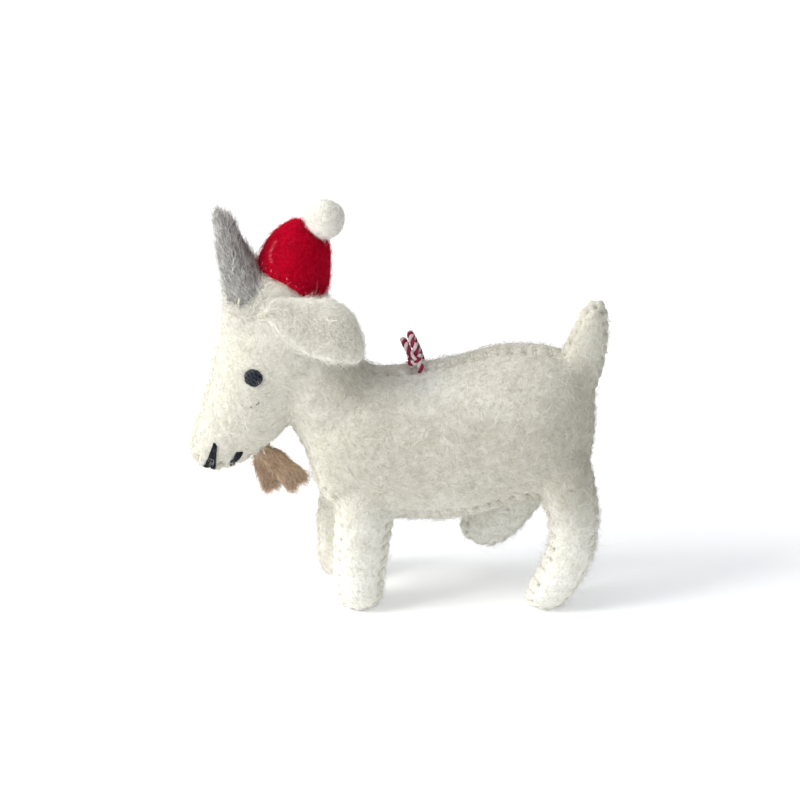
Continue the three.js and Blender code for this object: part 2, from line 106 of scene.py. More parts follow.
def make_floor():
    half = FLOOR_WIDTH / 2
    corners = [(-half, -half, 0), (half, -half, 0), (half, half, 0), (-half, half, 0)]
    mesh = bpy.data.meshes.new("floor")
    mesh.from_pydata(corners, [], [(0, 1, 2, 3)])
    floor = bpy.data.objects.new("floor", mesh)
    bpy.context.scene.collection.objects.link(floor)
    paper = bpy.data.materials.new("white_paper")
    paper.use_nodes = True
    shader = paper.node_tree.nodes["Principled BSDF"]
    shader.inputs["Base Color"].default_value = (0.95, 0.955, 0.965, 1)
    shader.inputs["Roughness"].default_value = 0.9
    shader.inputs["Emission Color"].default_value = (0.97, 0.985, 1.0, 1)
    shader.inputs["Emission Strength"].default_value = 0.235
    mesh.materials.append(paper)


make_camera()
make_studio()
make_floor()

# ---- numbers and meshes


def unit(v):
    v = np.asarray(v, float)
    return v / np.maximum(np.linalg.norm(v, axis=-1, keepdims=True), 1e-9)


def bell(x, width):
    """One at nothing, dying away over that width on both sides."""
    return np.exp(-((x / width) ** 2))


def squared(x, power):
    """A sine or cosine made blunter, which squares a round section."""
    return np.sign(x) * np.abs(x) ** power


def turns(count):
    """Even angles once round."""
    return np.arange(count) / count * TAU


def spline(rows, steps):
    """A Catmull-Rom curve through the rows, with that many steps from each row to the next."""
    rows = np.asarray(rows, float)
    padded = np.vstack([2 * rows[0] - rows[1], rows, 2 * rows[-1] - rows[-2]])
    t = (np.arange(steps) / steps)[:, None]
    out = []
    for a, b, c, d in zip(padded, padded[1:], padded[2:], padded[3:]):
        bend, turn = 2 * a - 5 * b + 4 * c - d, 3 * b - a - 3 * c + d
        out.append(0.5 * (2 * b + (c - a) * t + bend * t**2 + turn * t**3))
    return np.vstack([*out, rows[-1:]])


def resampled(line, step):
    """The polyline again with points an even step apart, and how far along each lies."""
    line = np.asarray(line, float)
    along = np.r_[0, np.cumsum(np.linalg.norm(np.diff(line, axis=0), axis=1))]
    count = max(int(round(along[-1] / step)), 2)
    at = np.linspace(0, along[-1], count + 1)
    return np.stack([np.interp(at, along, line[:, k]) for k in range(3)], 1), at


def tangents(line):
    return unit(np.gradient(line, axis=0))


def closed_tube(rings):
    """Points and outward faces of a tube through rings (rows, around, 3), closed at both ends with a fan."""
    rows, around = rings.shape[:2]
    points = np.vstack([rings.reshape(-1, 3), rings[0].mean(0), rings[-1].mean(0)])
    i, j = np.meshgrid(np.arange(rows - 1), np.arange(around), indexing="ij")
    here, beside = i * around + j, i * around + (j + 1) % around
    faces = np.stack([here, beside, beside + around, here + around], -1).reshape(-1, 4).tolist()
    last = (rows - 1) * around
    for j in range(around):
        k = (j + 1) % around
        faces.append([rows * around, k, j])
        faces.append([rows * around + 1, last + j, last + k])
    corner = (points - points.mean(0))[triangles_of(faces)]
    if np.einsum("ij,ij->", corner[:, 0], np.cross(corner[:, 1], corner[:, 2])) < 0:
        faces = [face[::-1] for face in faces]
    return points, faces


def frames_along(line, start_side):
    """Two side vectors at each point of a line, turning as little as they can."""
    t = tangents(line)
    side = unit(start_side - t[0] * (start_side @ t[0]))
    first = [side]
    for k in range(1, len(t)):
        side = unit(side - t[k] * (side @ t[k]))
        first.append(side)
    first = np.array(first)
    return first, np.cross(t, first)


def round_tube(line, radius, around=8, start_side=UP):
    """A closed round tube on a line."""
    one, two = frames_along(line, np.asarray(start_side, float))
    angle = turns(around)
    offset = one[:, None] * np.cos(angle)[None, :, None] + two[:, None] * np.sin(angle)[None, :, None]
    return closed_tube(line[:, None] + radius * offset)


def merged(parts):
    """Several (points, faces) as one."""
    points, faces, offset = [], [], 0
    for p, f in parts:
        points.append(np.asarray(p, float))
        faces.extend([[offset + i for i in face] for face in f])
        offset += len(p)
    return np.vstack(points), faces


def new_object(name, points, faces, materials=(), face_slots=None):
    """A smooth mesh object from points in millimetres."""
    mesh = bpy.data.meshes.new(name)
    faces = faces if isinstance(faces, list) else faces.tolist()
    mesh.from_pydata((np.asarray(points) * MM).tolist(), [], faces)
    mesh.polygons.foreach_set("use_smooth", np.ones(len(mesh.polygons), bool))
    for material in materials:
        mesh.materials.append(material)
    if face_slots is not None:
        mesh.polygons.foreach_set("material_index", np.asarray(face_slots, np.int32))
    obj = bpy.data.objects.new(name, mesh)
    bpy.context.scene.collection.objects.link(obj)
    return obj


def set_field(obj, name, values):
    field = obj.data.attributes.new(name, "FLOAT", "POINT")
    field.data.foreach_set("value", np.asarray(values, np.float32))


def remeshed(points, faces, voxel):
    """One skin round closed shapes that overlap, as points in millimetres and quads."""
    obj = new_object("remesh", points, faces)
    way = obj.modifiers.new("remesh", "REMESH")
    way.mode, way.voxel_size = "VOXEL", voxel * MM
    result = obj.evaluated_get(bpy.context.evaluated_depsgraph_get()).to_mesh()
    out = np.zeros(len(result.vertices) * 3, np.float32)
    result.vertices.foreach_get("co", out)
    corners = np.zeros(len(result.loops), np.int32)
    result.loops.foreach_get("vertex_index", corners)
    bpy.data.objects.remove(obj)
    return out.reshape(-1, 3).astype(float) / MM, corners.reshape(-1, 4)


def triangles_of(faces):
    """Faces of three or four corners as triangles only."""
    return np.array([t for f in faces for t in ([f] if len(f) == 3 else [f[:3], [f[0], f[2], f[3]]])])


def smoothed(points, triangles, times):
    """The points after each has moved halfway to the mean of its neighbours, several times."""
    a, b = np.vstack([triangles[:, [0, 1]], triangles[:, [1, 2]], triangles[:, [2, 0]]]).T
    count = np.maximum(np.bincount(a, minlength=len(points)), 1)[:, None]
    for _ in range(times):
        mean = np.stack([np.bincount(a, points[b, k], len(points)) for k in range(3)], 1) / count
        points = points + 0.5 * (mean - points)
    return points


def normals_of(points, triangles):
    p = points[triangles]
    n = np.cross(p[:, 1] - p[:, 0], p[:, 2] - p[:, 0])
    total = [sum(np.bincount(triangles[:, c], n[:, k], len(points)) for c in range(3)) for k in range(3)]
    return unit(np.stack(total, 1))


def areas_of(points, triangles):
    p = points[triangles]
    return np.linalg.norm(np.cross(p[:, 1] - p[:, 0], p[:, 2] - p[:, 0]), axis=1) / 2


def lumps(points, size, seed):
    """Smooth noise from about -1 to 1 with lumps of that size, in millimetres."""
    shift = Vector((seed * 7.3, seed * 3.1, seed * 5.7))
    return np.array([noise.noise(Vector(p / size) + shift) for p in points])


def cut(points, triangles, values):
    """The triangles split where values change sign: points, triangles, values and the cut's segments."""
    values = np.where(np.abs(values) < 1e-6, 1e-6, values)
    sign = values[triangles] > 0
    mixed = (sign.sum(1) == 1) | (sign.sum(1) == 2)
    tri, s = triangles[mixed], sign[mixed]
    lone = np.where(s.sum(1) == 1, s.argmax(1), (~s).argmax(1))
    rows = np.arange(len(tri))
    a, b, c = tri[rows, lone], tri[rows, (lone + 1) % 3], tri[rows, (lone + 2) % 3]
    pairs = np.sort(np.vstack([np.stack([a, b], 1), np.stack([a, c], 1)]), 1)
    edges, index = np.unique(pairs, axis=0, return_inverse=True)
    v0, v1 = values[edges[:, 0]], values[edges[:, 1]]
    share = (v0 / (v0 - v1))[:, None]
    fresh = points[edges[:, 0]] * (1 - share) + points[edges[:, 1]] * share
    index = index.reshape(-1) + len(points)
    p, q = index[: len(tri)], index[len(tri) :]
    pieces = [triangles[~mixed], np.stack([a, p, q], 1), np.stack([p, b, c], 1), np.stack([p, c, q], 1)]
    return (
        np.vstack([points, fresh]),
        np.vstack(pieces),
        np.r_[values, np.zeros(len(fresh))],
        np.stack([p, q], 1),
    )


def chains(segments):
    """The segments put end to end, as lists of point numbers, the longest first."""
    beside = {}
    for p, q in segments.tolist():
        beside.setdefault(p, []).append(q)
        beside.setdefault(q, []).append(p)
    left, out = set(beside), []
    ends = [p for p in beside if len(beside[p]) == 1]
    for start in ends + list(beside):
        if start not in left:
            continue
        run, here = [start], start
        left.discard(start)
        while True:
            onward = [p for p in beside[here] if p in left]
            if not onward:
                break
            here = onward[0]
            left.discard(here)
            run.append(here)
        if here in beside[start] and len(run) > 2:
            run.append(start)
        out.append(run)
    return sorted(out, key=len, reverse=True)


def faces_tree(points, triangles):
    return BVHTree.FromPolygons(points.tolist(), triangles.tolist())


def kd_of(points):
    tree = kdtree.KDTree(len(points))
    for i, p in enumerate(points):
        tree.insert(p, i)
    tree.balance()
    return tree


def nearest(tree, points):
    """The number of each point's nearest one in the tree, and how far off it is."""
    found = np.array([tree.find(p)[1:] for p in points])
    return found[:, 0].astype(int), found[:, 1]


# ---- materials


class Nodes:
    """A material being made: its node tree with short ways to add to it."""

    def __init__(self, name):
        self.material = bpy.data.materials.new(name)
        self.material.use_nodes = True
        self.tree = self.material.node_tree
        self.place = self.tree.nodes.new("ShaderNodeTexCoord").outputs["Object"]

    def feed(self, sockets, values):
        """Sets each socket to its value, or links it where the value is another node's output."""
        for socket, value in zip(sockets, values):
            if isinstance(value, bpy.types.NodeSocket):
                self.tree.links.new(value, socket)
            else:
                socket.default_value = value

    def node(self, kind, **inputs):
        node = self.tree.nodes.new("ShaderNode" + kind)
        self.feed([node.inputs[name] for name in inputs], inputs.values())
        return node

    def stretched(self, scale, turn):
        return self.node("Mapping", Vector=self.place, Scale=scale, Rotation=turn).outputs["Vector"]

    def noise(self, scale, detail, vector=None, distortion=0.0):
        way = {"Vector": vector or self.place, "Roughness": 0.55}
        return self.node("TexNoise", Scale=scale, Detail=detail, Distortion=distortion, **way).outputs["Fac"]

    def ramp(self, value, low, high):
        """From one colour to another, each given with the value where it is reached."""
        node = self.node("ValToRGB", Fac=value)
        for point, (at, colour) in zip(node.color_ramp.elements, (low, high)):
            point.position = at
            point.color = (*colour, 1)
        return node.outputs["Color"]

    def mix(self, share, under, over):
        node = self.node("Mix")
        node.data_type = "RGBA"
        self.feed([s for s in node.inputs if s.enabled], (share, under, (*over, 1)))
        return next(s for s in node.outputs if s.enabled)

    def math(self, way, a, b):
        node = self.node("Math")
        node.operation = way
        self.feed(node.inputs, (a, b))
        return node.outputs[0]

    def field(self, name):
        node = self.node("Attribute")
        node.attribute_name = name
        return node.outputs["Fac"]

    def bump(self, height, strength, distance):
        return self.node("Bump", Height=height, Strength=strength, Distance=distance).outputs["Normal"]

    def finish(self, colour, roughness, sheen, sheen_tint, specular, **more):
        look = {
            "Base Color": colour,
            "Roughness": roughness,
            "Specular IOR Level": specular,
            "Sheen Weight": sheen,
            "Sheen Roughness": 0.5,
            "Sheen Tint": (*sheen_tint, 1),
            **more,
        }
        shader = self.tree.nodes["Principled BSDF"]
        self.feed([shader.inputs[name] for name in look], look.values())
        return self.material


def felt(name, dark, middle, light, crease_shading, sheen=0.12, bump=0.45, specular=0.12):
    """Matted wool: soft blotches and fine curling fibres in two directions, then painted shade and light over
    random tone, mixed towards the dark colour, and a colour painted at creases: painted shade on most felts,
    a painted highlight on the red cap's fold.
    """
    n = Nodes(name)
    blotch = n.ramp(n.noise(75, 3), (0.34, middle), (0.68, light))
    clump = n.noise(900, 4, distortion=0.8)
    one = n.noise(1.0, 3, n.stretched((2300, 480, 1900), (0.3, 0.5, 0.2)), 1.9)
    two = n.noise(1.0, 3, n.stretched((520, 2300, 1700), (1.1, 0.2, 0.9)), 1.9)
    fibre = n.math("MAXIMUM", one, two)
    shade = n.mix(n.ramp(clump, (0.28, (0.6, 0.6, 0.6)), (0.55, (0, 0, 0))), blotch, dark)
    lit = n.mix(n.ramp(fibre, (0.54, (0, 0, 0)), (0.74, (0.8, 0.8, 0.8))), shade, light)
    # Painted shade and light, over random tone, mix towards the dark colour.
    toned = n.mix(n.field("tone_and_shade"), lit, dark)
    # Painted shade at creases and stitch holes, and a painted highlight on the cap's fold, mix towards the
    # crease colour.
    coloured = n.mix(n.field("crease_shading"), toned, crease_shading)
    height = n.math("ADD", n.math("MULTIPLY", fibre, 0.9), n.math("MULTIPLY", clump, 0.5))
    return n.finish(coloured, 0.95, sheen, light, specular, Normal=n.bump(height, bump, 0.0003))


def fuzz(name, dark, light, sheen=0.2):
    """Loose wool fibres, each with its own tint, darkened by any painted shade it carries from the felt under
    it.
    """
    n = Nodes(name)
    shade = n.math("ADD", n.field("tint_and_shade"), n.math("MULTIPLY", n.noise(700, 2), 0.35))
    return n.finish(n.ramp(shade, (0.1, dark), (0.95, light)), 0.9, sheen, light, 0.15)


def thread(name, dark, light, roughness, sheen=0.1, specular=0.1):
    """Spun thread: fine plies along its length."""
    n = Nodes(name)
    ply = n.noise(1.0, 3, n.stretched((5200, 5200, 2080), (0.5, 0.9, 0.3)), 1.0)
    colour = n.ramp(ply, (0.32, dark), (0.66, light))
    return n.finish(colour, roughness, sheen, light, specular, Normal=n.bump(ply, 0.5, 0.00012))


# The fourth colour of each felt is painted at its creases: painted shade on most felts, a painted highlight
# on the red cap.
CREAM_SHADES = [(0.49, 0.465, 0.375), (0.90, 0.89, 0.81), (0.97, 0.965, 0.92), (0.30, 0.235, 0.14)]
CREAM = felt("cream_felt", *CREAM_SHADES, bump=0.65)
CREAM_FUZZ = fuzz("cream_fuzz", (0.62, 0.60, 0.52), (0.97, 0.965, 0.93))
GREY = felt("grey_felt", (0.15, 0.144, 0.134), (0.27, 0.262, 0.25), (0.45, 0.44, 0.425), (0.12, 0.11, 0.1))
GREY_FUZZ = fuzz("grey_fuzz", (0.14, 0.132, 0.124), (0.95, 0.94, 0.91))
# The red felt's last colour is the painted highlight along the cap's fold.
RED_SHADES = [(0.255, 0.0, 0.0075), (0.37, 0.0, 0.012), (0.455, 0.0, 0.017), (0.80, 0.42, 0.44)]
RED = felt("red_felt", *RED_SHADES, sheen=0.0, specular=0.03)
RED_FUZZ = fuzz("red_fuzz", (0.42, 0.0, 0.013), (0.72, 0.006, 0.05), 0.0)
WHITE = felt("ball_felt", (0.62, 0.59, 0.50), (0.74, 0.715, 0.635), (0.88, 0.87, 0.82), (0.5, 0.46, 0.4))
WHITE_FUZZ = fuzz("ball_fuzz", (0.70, 0.685, 0.62), (0.96, 0.955, 0.92))
TAN = felt("tan_felt", (0.28, 0.165, 0.09), (0.47, 0.30, 0.18), (0.68, 0.50, 0.34), (0.25, 0.14, 0.08))
TAN_FUZZ = fuzz("tan_fuzz", (0.27, 0.15, 0.08), (0.92, 0.76, 0.59))
CREAM_THREAD = thread("cream_thread", (0.58, 0.53, 0.42), (0.80, 0.76, 0.66), 0.8)
WHITE_THREAD = thread("white_thread", (0.62, 0.46, 0.46), (0.86, 0.78, 0.76), 0.7)
NAVY = thread("navy_thread", (0.003, 0.004, 0.008), (0.012, 0.016, 0.026), 0.55, 0.0, 0.12)
# A lighter copy of the navy thread: painted sheen on the eye's strands and some satin strands.
NAVY_SHEEN_STRAND = thread("navy_sheen_strand", (0.004, 0.005, 0.010), (0.050, 0.062, 0.085), 0.36, 0.0, 0.35)
TWINE_RED = thread("twine_red", (0.16, 0.003, 0.022), (0.42, 0.05, 0.10), 0.8)
TWINE_WHITE = thread("twine_white", (0.66, 0.50, 0.51), (0.90, 0.82, 0.81), 0.8)

# ---- fibres


def fibres(name, points, triangles, count, size, material, seed, lay=None, stray=0.12, wild=0.7, shade=0):
    """Curved loose fibres that lie on a surface. Most lie nearly flat, and a share of them stray outwards.

    size is their length, their width and how high they arch.
    lay is the way that they lie, else they swirl, and wild is how far they leave it.
    shade is how much darker they are, one number or one for each of the surface's points; on the panels it is
    the felt's painted shade together with its random tone.
    """
    rng = np.random.default_rng(seed)
    length, width, lift = size
    area = areas_of(points, triangles)
    chosen = rng.choice(len(triangles), count, p=area / area.sum())
    u, v = rng.random((2, count, 1))
    flip = (u + v) > 1
    u, v = np.where(flip, 1 - u, u), np.where(flip, 1 - v, v)
    tri = triangles[chosen]
    weights = np.stack([1 - u - v, u, v], 1)
    root = (points[tri] * weights).sum(1)
    normal = unit((normals_of(points, triangles)[tri] * weights).sum(1))
    if lay is None:
        lay = np.stack([lumps(root, 9.0, seed + k) for k in range(3)], 1) * 2.2
    way = lay + wild * rng.normal(size=(count, 3))
    way = unit(way - normal * (way * normal).sum(1, keepdims=True))
    aside = np.cross(normal, way)
    long = length * np.exp(rng.normal(0, 0.35, (count, 1)))
    high = lift * rng.uniform(0.4, 1.3, (count, 1))
    away = (rng.random((count, 1)) < stray) * rng.uniform(0.25, 0.7, (count, 1)) * long
    bend = rng.normal(0, 0.28, (count, 1)) * long
    curl = rng.normal(0, 0.16, (count, 1)) * long
    thick = width * rng.uniform(0.6, 1.25, (count, 1))
    spin = rng.uniform(0, math.pi, (count, 1))
    across = aside * np.cos(spin) + normal * np.sin(spin)
    rows = []
    for t, fat in ((0.0, 1.0), (0.34, 1.0), (0.68, 0.8), (1.0, 0.25)):
        middle = root + way * long * (t - 0.1) + aside * (bend * t * t + curl * math.sin(3.4 * t))
        middle = middle + normal * (high * math.sin(math.pi * min(t + 0.1, 1)) + away * t**1.5 - 0.12)
        rows += [middle - across * thick * fat / 2, middle + across * thick * fat / 2]
    verts = np.stack(rows, 1).reshape(-1, 3)
    verts[:, 2] = np.maximum(verts[:, 2], 0.05)
    base = np.arange(count)[:, None] * len(rows)
    quads = np.stack([base + np.array([2 * k, 2 * k + 1, 2 * k + 3, 2 * k + 2]) for k in range(3)], 1)
    obj = new_object(name, verts, quads.reshape(-1, 4), [material])
    # The fibres carry the painted shade given as shade in their tint.
    darker = np.broadcast_to(shade, (len(points),))[tri[:, 0]]
    set_field(obj, "tint_and_shade", np.repeat(rng.uniform(0, 0.75, count) - darker, len(rows)))
    return obj


def dress(piece, slot, *nodes, body="goat"):
    """Says what a piece stands for and which body carries it; what it is made of, slot, is not used."""
    if nodes:
        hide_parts(*nodes)
    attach(piece, body)


# ---- the hanging loop of twine

# The route of the loop, from its knot over the back and down the right flank and back again.
LOOP_ROUTE = [
    (3.3, 0.2, 71.1), (2.3, 1.2, 72.4), (1.6, 2.9, 73.2), (1.3, 4.9, 73.1), (1.7, 7.1, 71.6),
    (2.5, 9.3, 68.8), (3.2, 11.9, 65.0), (3.5, 14.8, 60.3), (3.2, 17.4, 54.7), (2.7, 19.1, 48.2),
    (2.1, 19.5, 41.4), (1.7, 19.5, 34.8), (2.1, 19.5, 29.8), (3.7, 19.5, 26.6), (6.2, 19.5, 25.5),
    (8.7, 19.5, 26.7), (10.2, 19.5, 29.9), (10.3, 19.6, 35.0), (9.7, 19.6, 41.8), (8.8, 19.3, 48.6),
    (7.8, 17.9, 55.2), (6.8, 15.5, 61.1), (5.8, 12.8, 65.8), (4.7, 10.2, 69.8), (3.8, 8.0, 72.7),
    (3.3, 5.8, 74.7), (3.2, 3.4, 75.0), (3.8, 1.5, 73.9), (4.6, 0.7, 72.3),
]
KNOT = np.array([4.7, -0.4, 69.6])
TWINE = 1.8
PLY_TURN = 3.0


def twisted(line, diameter=TWINE, start=0.0):
    """Two plies wound round a line: points, faces and each face's ply."""
    line, along = resampled(line, 0.3)
    one, two = frames_along(line, np.array([0.3, -1.0, 0.2]))
    ply = 0.29 * diameter
    parts, slots = [], []
    for k in range(2):
        angle = (start + along / PLY_TURN * TAU + k * math.pi)[:, None]
        centre = line + 0.235 * diameter * (one * np.cos(angle) + two * np.sin(angle))
        points, faces = round_tube(centre, ply, 8, (0.3, -1.0, 0.2))
        parts.append((points, faces))
        slots += [k] * len(faces)
    points, faces = merged(parts)
    return points, faces, slots


def make_twine():
    start = np.vstack([KNOT, (3.9, -0.1, 70.4)])
    finish = np.vstack([(4.7, 0.2, 71.2), KNOT])
    line = spline(np.vstack([start, LOOP_ROUTE, finish]), 8)
    wraps = [
        [(3.4, -0.6, 70.6), (4.2, -1.6, 70.7), (5.4, -1.3, 70.0), (5.8, -0.1, 69.2), (5.2, 0.7, 68.8)],
        [(3.4, 0.3, 69.4), (3.7, -1.1, 69.0), (4.8, -1.8, 69.4), (5.6, -1.2, 70.4), (5.5, 0.0, 70.8)],
        [(4.5, -1.0, 69.9), (3.8, -1.6, 69.1), (3.0, -1.7, 68.9), (2.5, -1.7, 69.4)],
    ]
    wound = [twisted(spline(w, 8), TWINE * 0.85, start=0.9 * i) for i, w in enumerate(wraps)]
    knot = (*merged([w[:2] for w in wound]), sum([w[2] for w in wound], []))
    down = [(5.2, -1.1, 69.9), (5.8, -1.9, 68.8), (6.2, -2.6, 67.6), (6.3, -2.9, 65.6), (6.3, -2.8, 64.0)]
    for name, node, body, (points, faces, slots) in (
        ("twine_loop", "hanging_loop", "hanging_loop", twisted(line)),
        ("twine_knot", "loop_knot", "hanging_loop", knot),
        ("twine_anchor", "loop_anchor_strand", "goat", twisted(spline(down, 8), start=0.4)),
    ):
        piece = new_object(name, points, faces, [TWINE_RED, TWINE_WHITE], slots)
        dress(piece, "red_white_twine", node, body=body)


make_twine()

# ---- the stuffed body

# Each ring of the body: its front or top point (x, z), its back or bottom one, half its width, its y.
TORSO = [
    (-24.8, 50, -24, 40, 6, 0),
    (-23.4, 57, -22.2, 33.5, 11, 0),
    (-19, 62, -18.5, 28.3, 14.6, 0),
    (-11, 65.5, -12, 25.4, 16.5, 0),
    (0, 65.8, 0, 23.8, 17, 0),
    (14, 68.3, 14, 23.5, 17.5, 0),
    (28, 72, 28, 27, 17.5, 0),
    (38, 72, 37.5, 29.5, 17, 0),
    (45.5, 70.5, 44.5, 31.5, 14.8, 0),
    (50, 67.5, 49, 35.5, 11.6, 0),
    (52.4, 62.5, 51.8, 40.5, 8, 0),
    (53.4, 57, 53.2, 47, 4.5, 0),
]
NECK = [
    (-18, 38, 6, 51, 13, 0),
    (-24, 42, 2, 57, 13.5, 0),
    (-28, 48.5, -7, 65.5, 12.8, 0),
    (-33, 58, -13.5, 72.5, 11.8, 0),
    (-38, 70, -16.5, 79, 11, 0),
]
HEAD = [
    (-36.2, 98, -25, 97.6, 7.2, 0),
    (-41, 94.9, -23.0, 94.8, 10.2, 0),
    (-44.9, 89.6, -20.6, 89.8, 11.7, 0),
    (-47.6, 82.5, -17.2, 81.5, 12.4, 0),
    (-49.4, 74.5, -17.5, 73, 12.6, 0),
    (-51, 67, -22.5, 64, 12, 0),
    (-52.5, 60.5, -27.6, 55.2, 11, 0),
    (-54.3, 54.5, -32.4, 48.6, 9.6, 0),
    (-56.1, 49.3, -37.2, 44.2, 8.2, 0),
    (-57.1, 45.2, -42.2, 40.8, 7, 0),
    (-56.7, 41.4, -46.4, 38.6, 5.4, 0),
    (-54.8, 38.6, -50, 37.5, 3.4, 0),
]
TAIL = [
    (40, 66, 52.5, 56, 6, 0),
    (45.1, 71.5, 55.3, 66, 4.9, 0),
    (47.5, 76.8, 56.7, 73, 4.3, 0),
    (49.6, 81.8, 57.1, 79.4, 3.8, 0),
    (51.6, 85.2, 56.9, 83.8, 3, 0),
    (53.6, 86.9, 55.9, 86.3, 1.9, 0),
]
FRONT_LEG = [
    (-15, 40, -2, 40, 6.4, 7.4),
    (-16.6, 30, -1.4, 30, 7.2, 9.2),
    (-17.2, 20, -2.8, 20, 7, 10.2),
    (-17.4, 10, -4.4, 10, 6.7, 10.6),
    (-17.2, 4.5, -4.6, 4.5, 6.4, 10.8),
    (-15.9, 1.4, -5.9, 1.4, 5, 10.8),
    (-13.6, -0.4, -8.2, -0.4, 2.7, 10.8),
]
FRONT_LEG_SHIFT = 4.7 * np.array([0, 0.7, 1, 1, 1, 1, 1])
STANDING_REAR_LEG = [
    (33, 46, 51, 47, 7.4, -7),
    (37, 37.5, 53, 39, 8, -8.8),
    (41.2, 28.5, 54.6, 28.5, 7.4, -10.2),
    (41.8, 19, 53.9, 18, 6.8, -10.6),
    (39, 11, 51, 9.6, 6.5, -10.8),
    (35.9, 5, 48, 4.8, 6.2, -10.8),
    (35.6, 1.6, 45.6, 1.6, 4.8, -10.8),
    (37.6, -0.4, 43, -0.4, 2.7, -10.8),
]
LIFTED_REAR_LEG = [
    (33, 46, 51, 47, 7.4, 7),
    (31.5, 35.5, 48.5, 37, 7.8, 9.2),
    (27, 28, 42.4, 26.5, 7.3, 11),
    (21.8, 21.4, 35.6, 16.6, 6.8, 12.2),
    (17.8, 16.2, 29.8, 10.2, 6.3, 13),
    (17.2, 12.2, 25.2, 8, 4.2, 13.2),
]
# Fuller wool where each horn sits.
HORN_SEATS = [
    [(-47, 80, -34, 80, 4.5, 5 * side), (-48.2, 86, -35, 86, 5.4, y), (-47.6, 89.8, -37, 90, 4.8, y)]
    for side, y in ((-1, -5.2), (1, 5.2))
]
FULLNESS = 2.2
# The seam between the gusset and the side panels: a wall beside the belly, closing to a tip above.
WALL_Y = 10.95
WALL_TOP = 32.45
TIP_Z = 44.7
VOXEL = 0.44
# How far the skin is evened out, in square millimetres, and what it gets back of what that takes off.
EASING = 8.4
REGROWTH = 0.35
STITCH_PITCH = 3.5
HOLE_INSET = 2.0
LEG_HOLE_INSET = 4.4
LEG_TOP = 30.0
THREAD = 0.24


def sections(rings, steps):
    """Each section's middle, its reach to the first of its two points, and half its width."""
    rows = spline(rings, steps)
    a = np.stack([rows[:, 0], rows[:, 5], rows[:, 1]], 1)
    b = np.stack([rows[:, 2], rows[:, 5], rows[:, 3]], 1)
    return (a + b) / 2, (a - b) / 2, rows[:, 4]


def loft(rings, steps=7, around=40, fullness=FULLNESS):
    """A closed stuffed tube through its rings."""
    centre, reach, half = sections(rings, steps)
    long = np.linalg.norm(reach, axis=1, keepdims=True)
    reach = reach / long * np.maximum(long, 0.3)
    half = np.maximum(half, 0.3)
    c, s = (squared(f(turns(around)), 2 / fullness) for f in (np.cos, np.sin))
    ringed = centre[:, None] + reach[:, None] * c[None, :, None]
    ringed[:, :, 1] += half[:, None] * s[None]
    return closed_tube(ringed)


def body_skin():
    """The whole stuffed shape as one smooth skin, and its triangles."""
    left_front = np.array(FRONT_LEG, float)
    left_front[:, 5] *= -1
    right_front = np.array(FRONT_LEG, float)
    right_front[:, [0, 2]] -= FRONT_LEG_SHIFT[:, None]
    tubes = [TORSO, NECK, HEAD, TAIL, left_front, right_front, STANDING_REAR_LEG, LIFTED_REAR_LEG]
    tubes += HORN_SEATS
    points, faces = merged([loft(rings) for rings in tubes])
    points, quads = remeshed(points, faces, VOXEL)
    triangles = np.vstack([quads[:, [0, 1, 2]], quads[:, [0, 2, 3]]])
    points = smoothed(points, triangles, int(EASING / VOXEL**2))
    points += REGROWTH * normals_of(points, triangles)
    points[:, 2] = np.maximum(points[:, 2], 0.25)
    return smoothed(points, triangles, 3), triangles


def gusset_field(points):
    """Below nothing inside the gusset's share of the skin, above nothing outside it."""
    across, z = np.abs(points[:, 1]), points[:, 2]
    rise = TIP_Z - WALL_TOP
    slope = ((across - WALL_Y) * rise + (z - WALL_TOP) * WALL_Y) / math.hypot(rise, WALL_Y)
    return np.maximum(across - WALL_Y, slope)


class Seam:
    """A sewn edge: its line on the skin, and the stitches along it."""

    def __init__(self, line, seed):
        self.line, self.along = resampled(line, 0.3)
        for _ in range(6):
            self.line[1:-1] += 0.5 * ((self.line[:-2] + self.line[2:]) / 2 - self.line[1:-1])
        rng = np.random.default_rng(seed)
        count = int(self.along[-1] / STITCH_PITCH)
        at = (np.arange(count) + 0.5) * self.along[-1] / count
        self.stitches = at + rng.uniform(-0.45, 0.45, count)
        self.leans = rng.uniform(-0.5, 0.5, (count, 2))
        self.insets = HOLE_INSET + rng.uniform(-0.3, 0.35, (count, 2))
        self.strengths = rng.uniform(0.3, 1.0, count)
        self.middle = np.abs(self.line[:, 1]).max() < 1

    def at(self, along):
        return np.array([np.interp(along, self.along, self.line[:, k]) for k in range(3)])

    def pierce(self, snap):
        """Finds the two holes of each stitch on the skin, further from the seam on the outside of a leg."""
        self.holes = []
        for at, leans, insets in zip(self.stitches, self.leans, self.insets):
            place = self.at(at)
            run = unit(self.at(at + 0.5) - self.at(at - 0.5))
            skin_normal = np.array(snap.find_nearest(place)[1])
            aside = unit(np.cross(run, skin_normal))
            outer = 1 if aside[1] * place[1] > 0 else -1
            for sign, lean, inset in zip((1, -1), leans, insets):
                on_leg = sign == outer and place[2] < LEG_TOP and abs(place[1]) > 5
                inset = inset + (LEG_HOLE_INSET - HOLE_INSET) * on_leg * min((LEG_TOP - place[2]) / 5, 1)
                spot = place + sign * aside * inset + run * (lean + sign * 0.35)
                self.holes.append(np.array(snap.find_nearest(spot)[0]))


def seam_lines(points, segments):
    """The cut's long lines. A line that crosses the middle of the goat is parted there."""
    lines = []
    for run in chains(segments):
        line = points[run]
        crossings = np.flatnonzero(np.diff(np.sign(np.round(line[:, 1], 3))) != 0)
        if len(crossings) and np.abs(line[:, 1]).max() > 1:
            if np.allclose(line[0], line[-1]):
                line = np.roll(line[:-1], -crossings[0] - 1, axis=0)
                crossings = np.flatnonzero(np.diff(np.sign(np.round(line[:, 1], 3))) != 0)
            lines += np.split(line, crossings + 1)
        else:
            lines.append(line)
    return [line for line in lines if len(line) > 40]


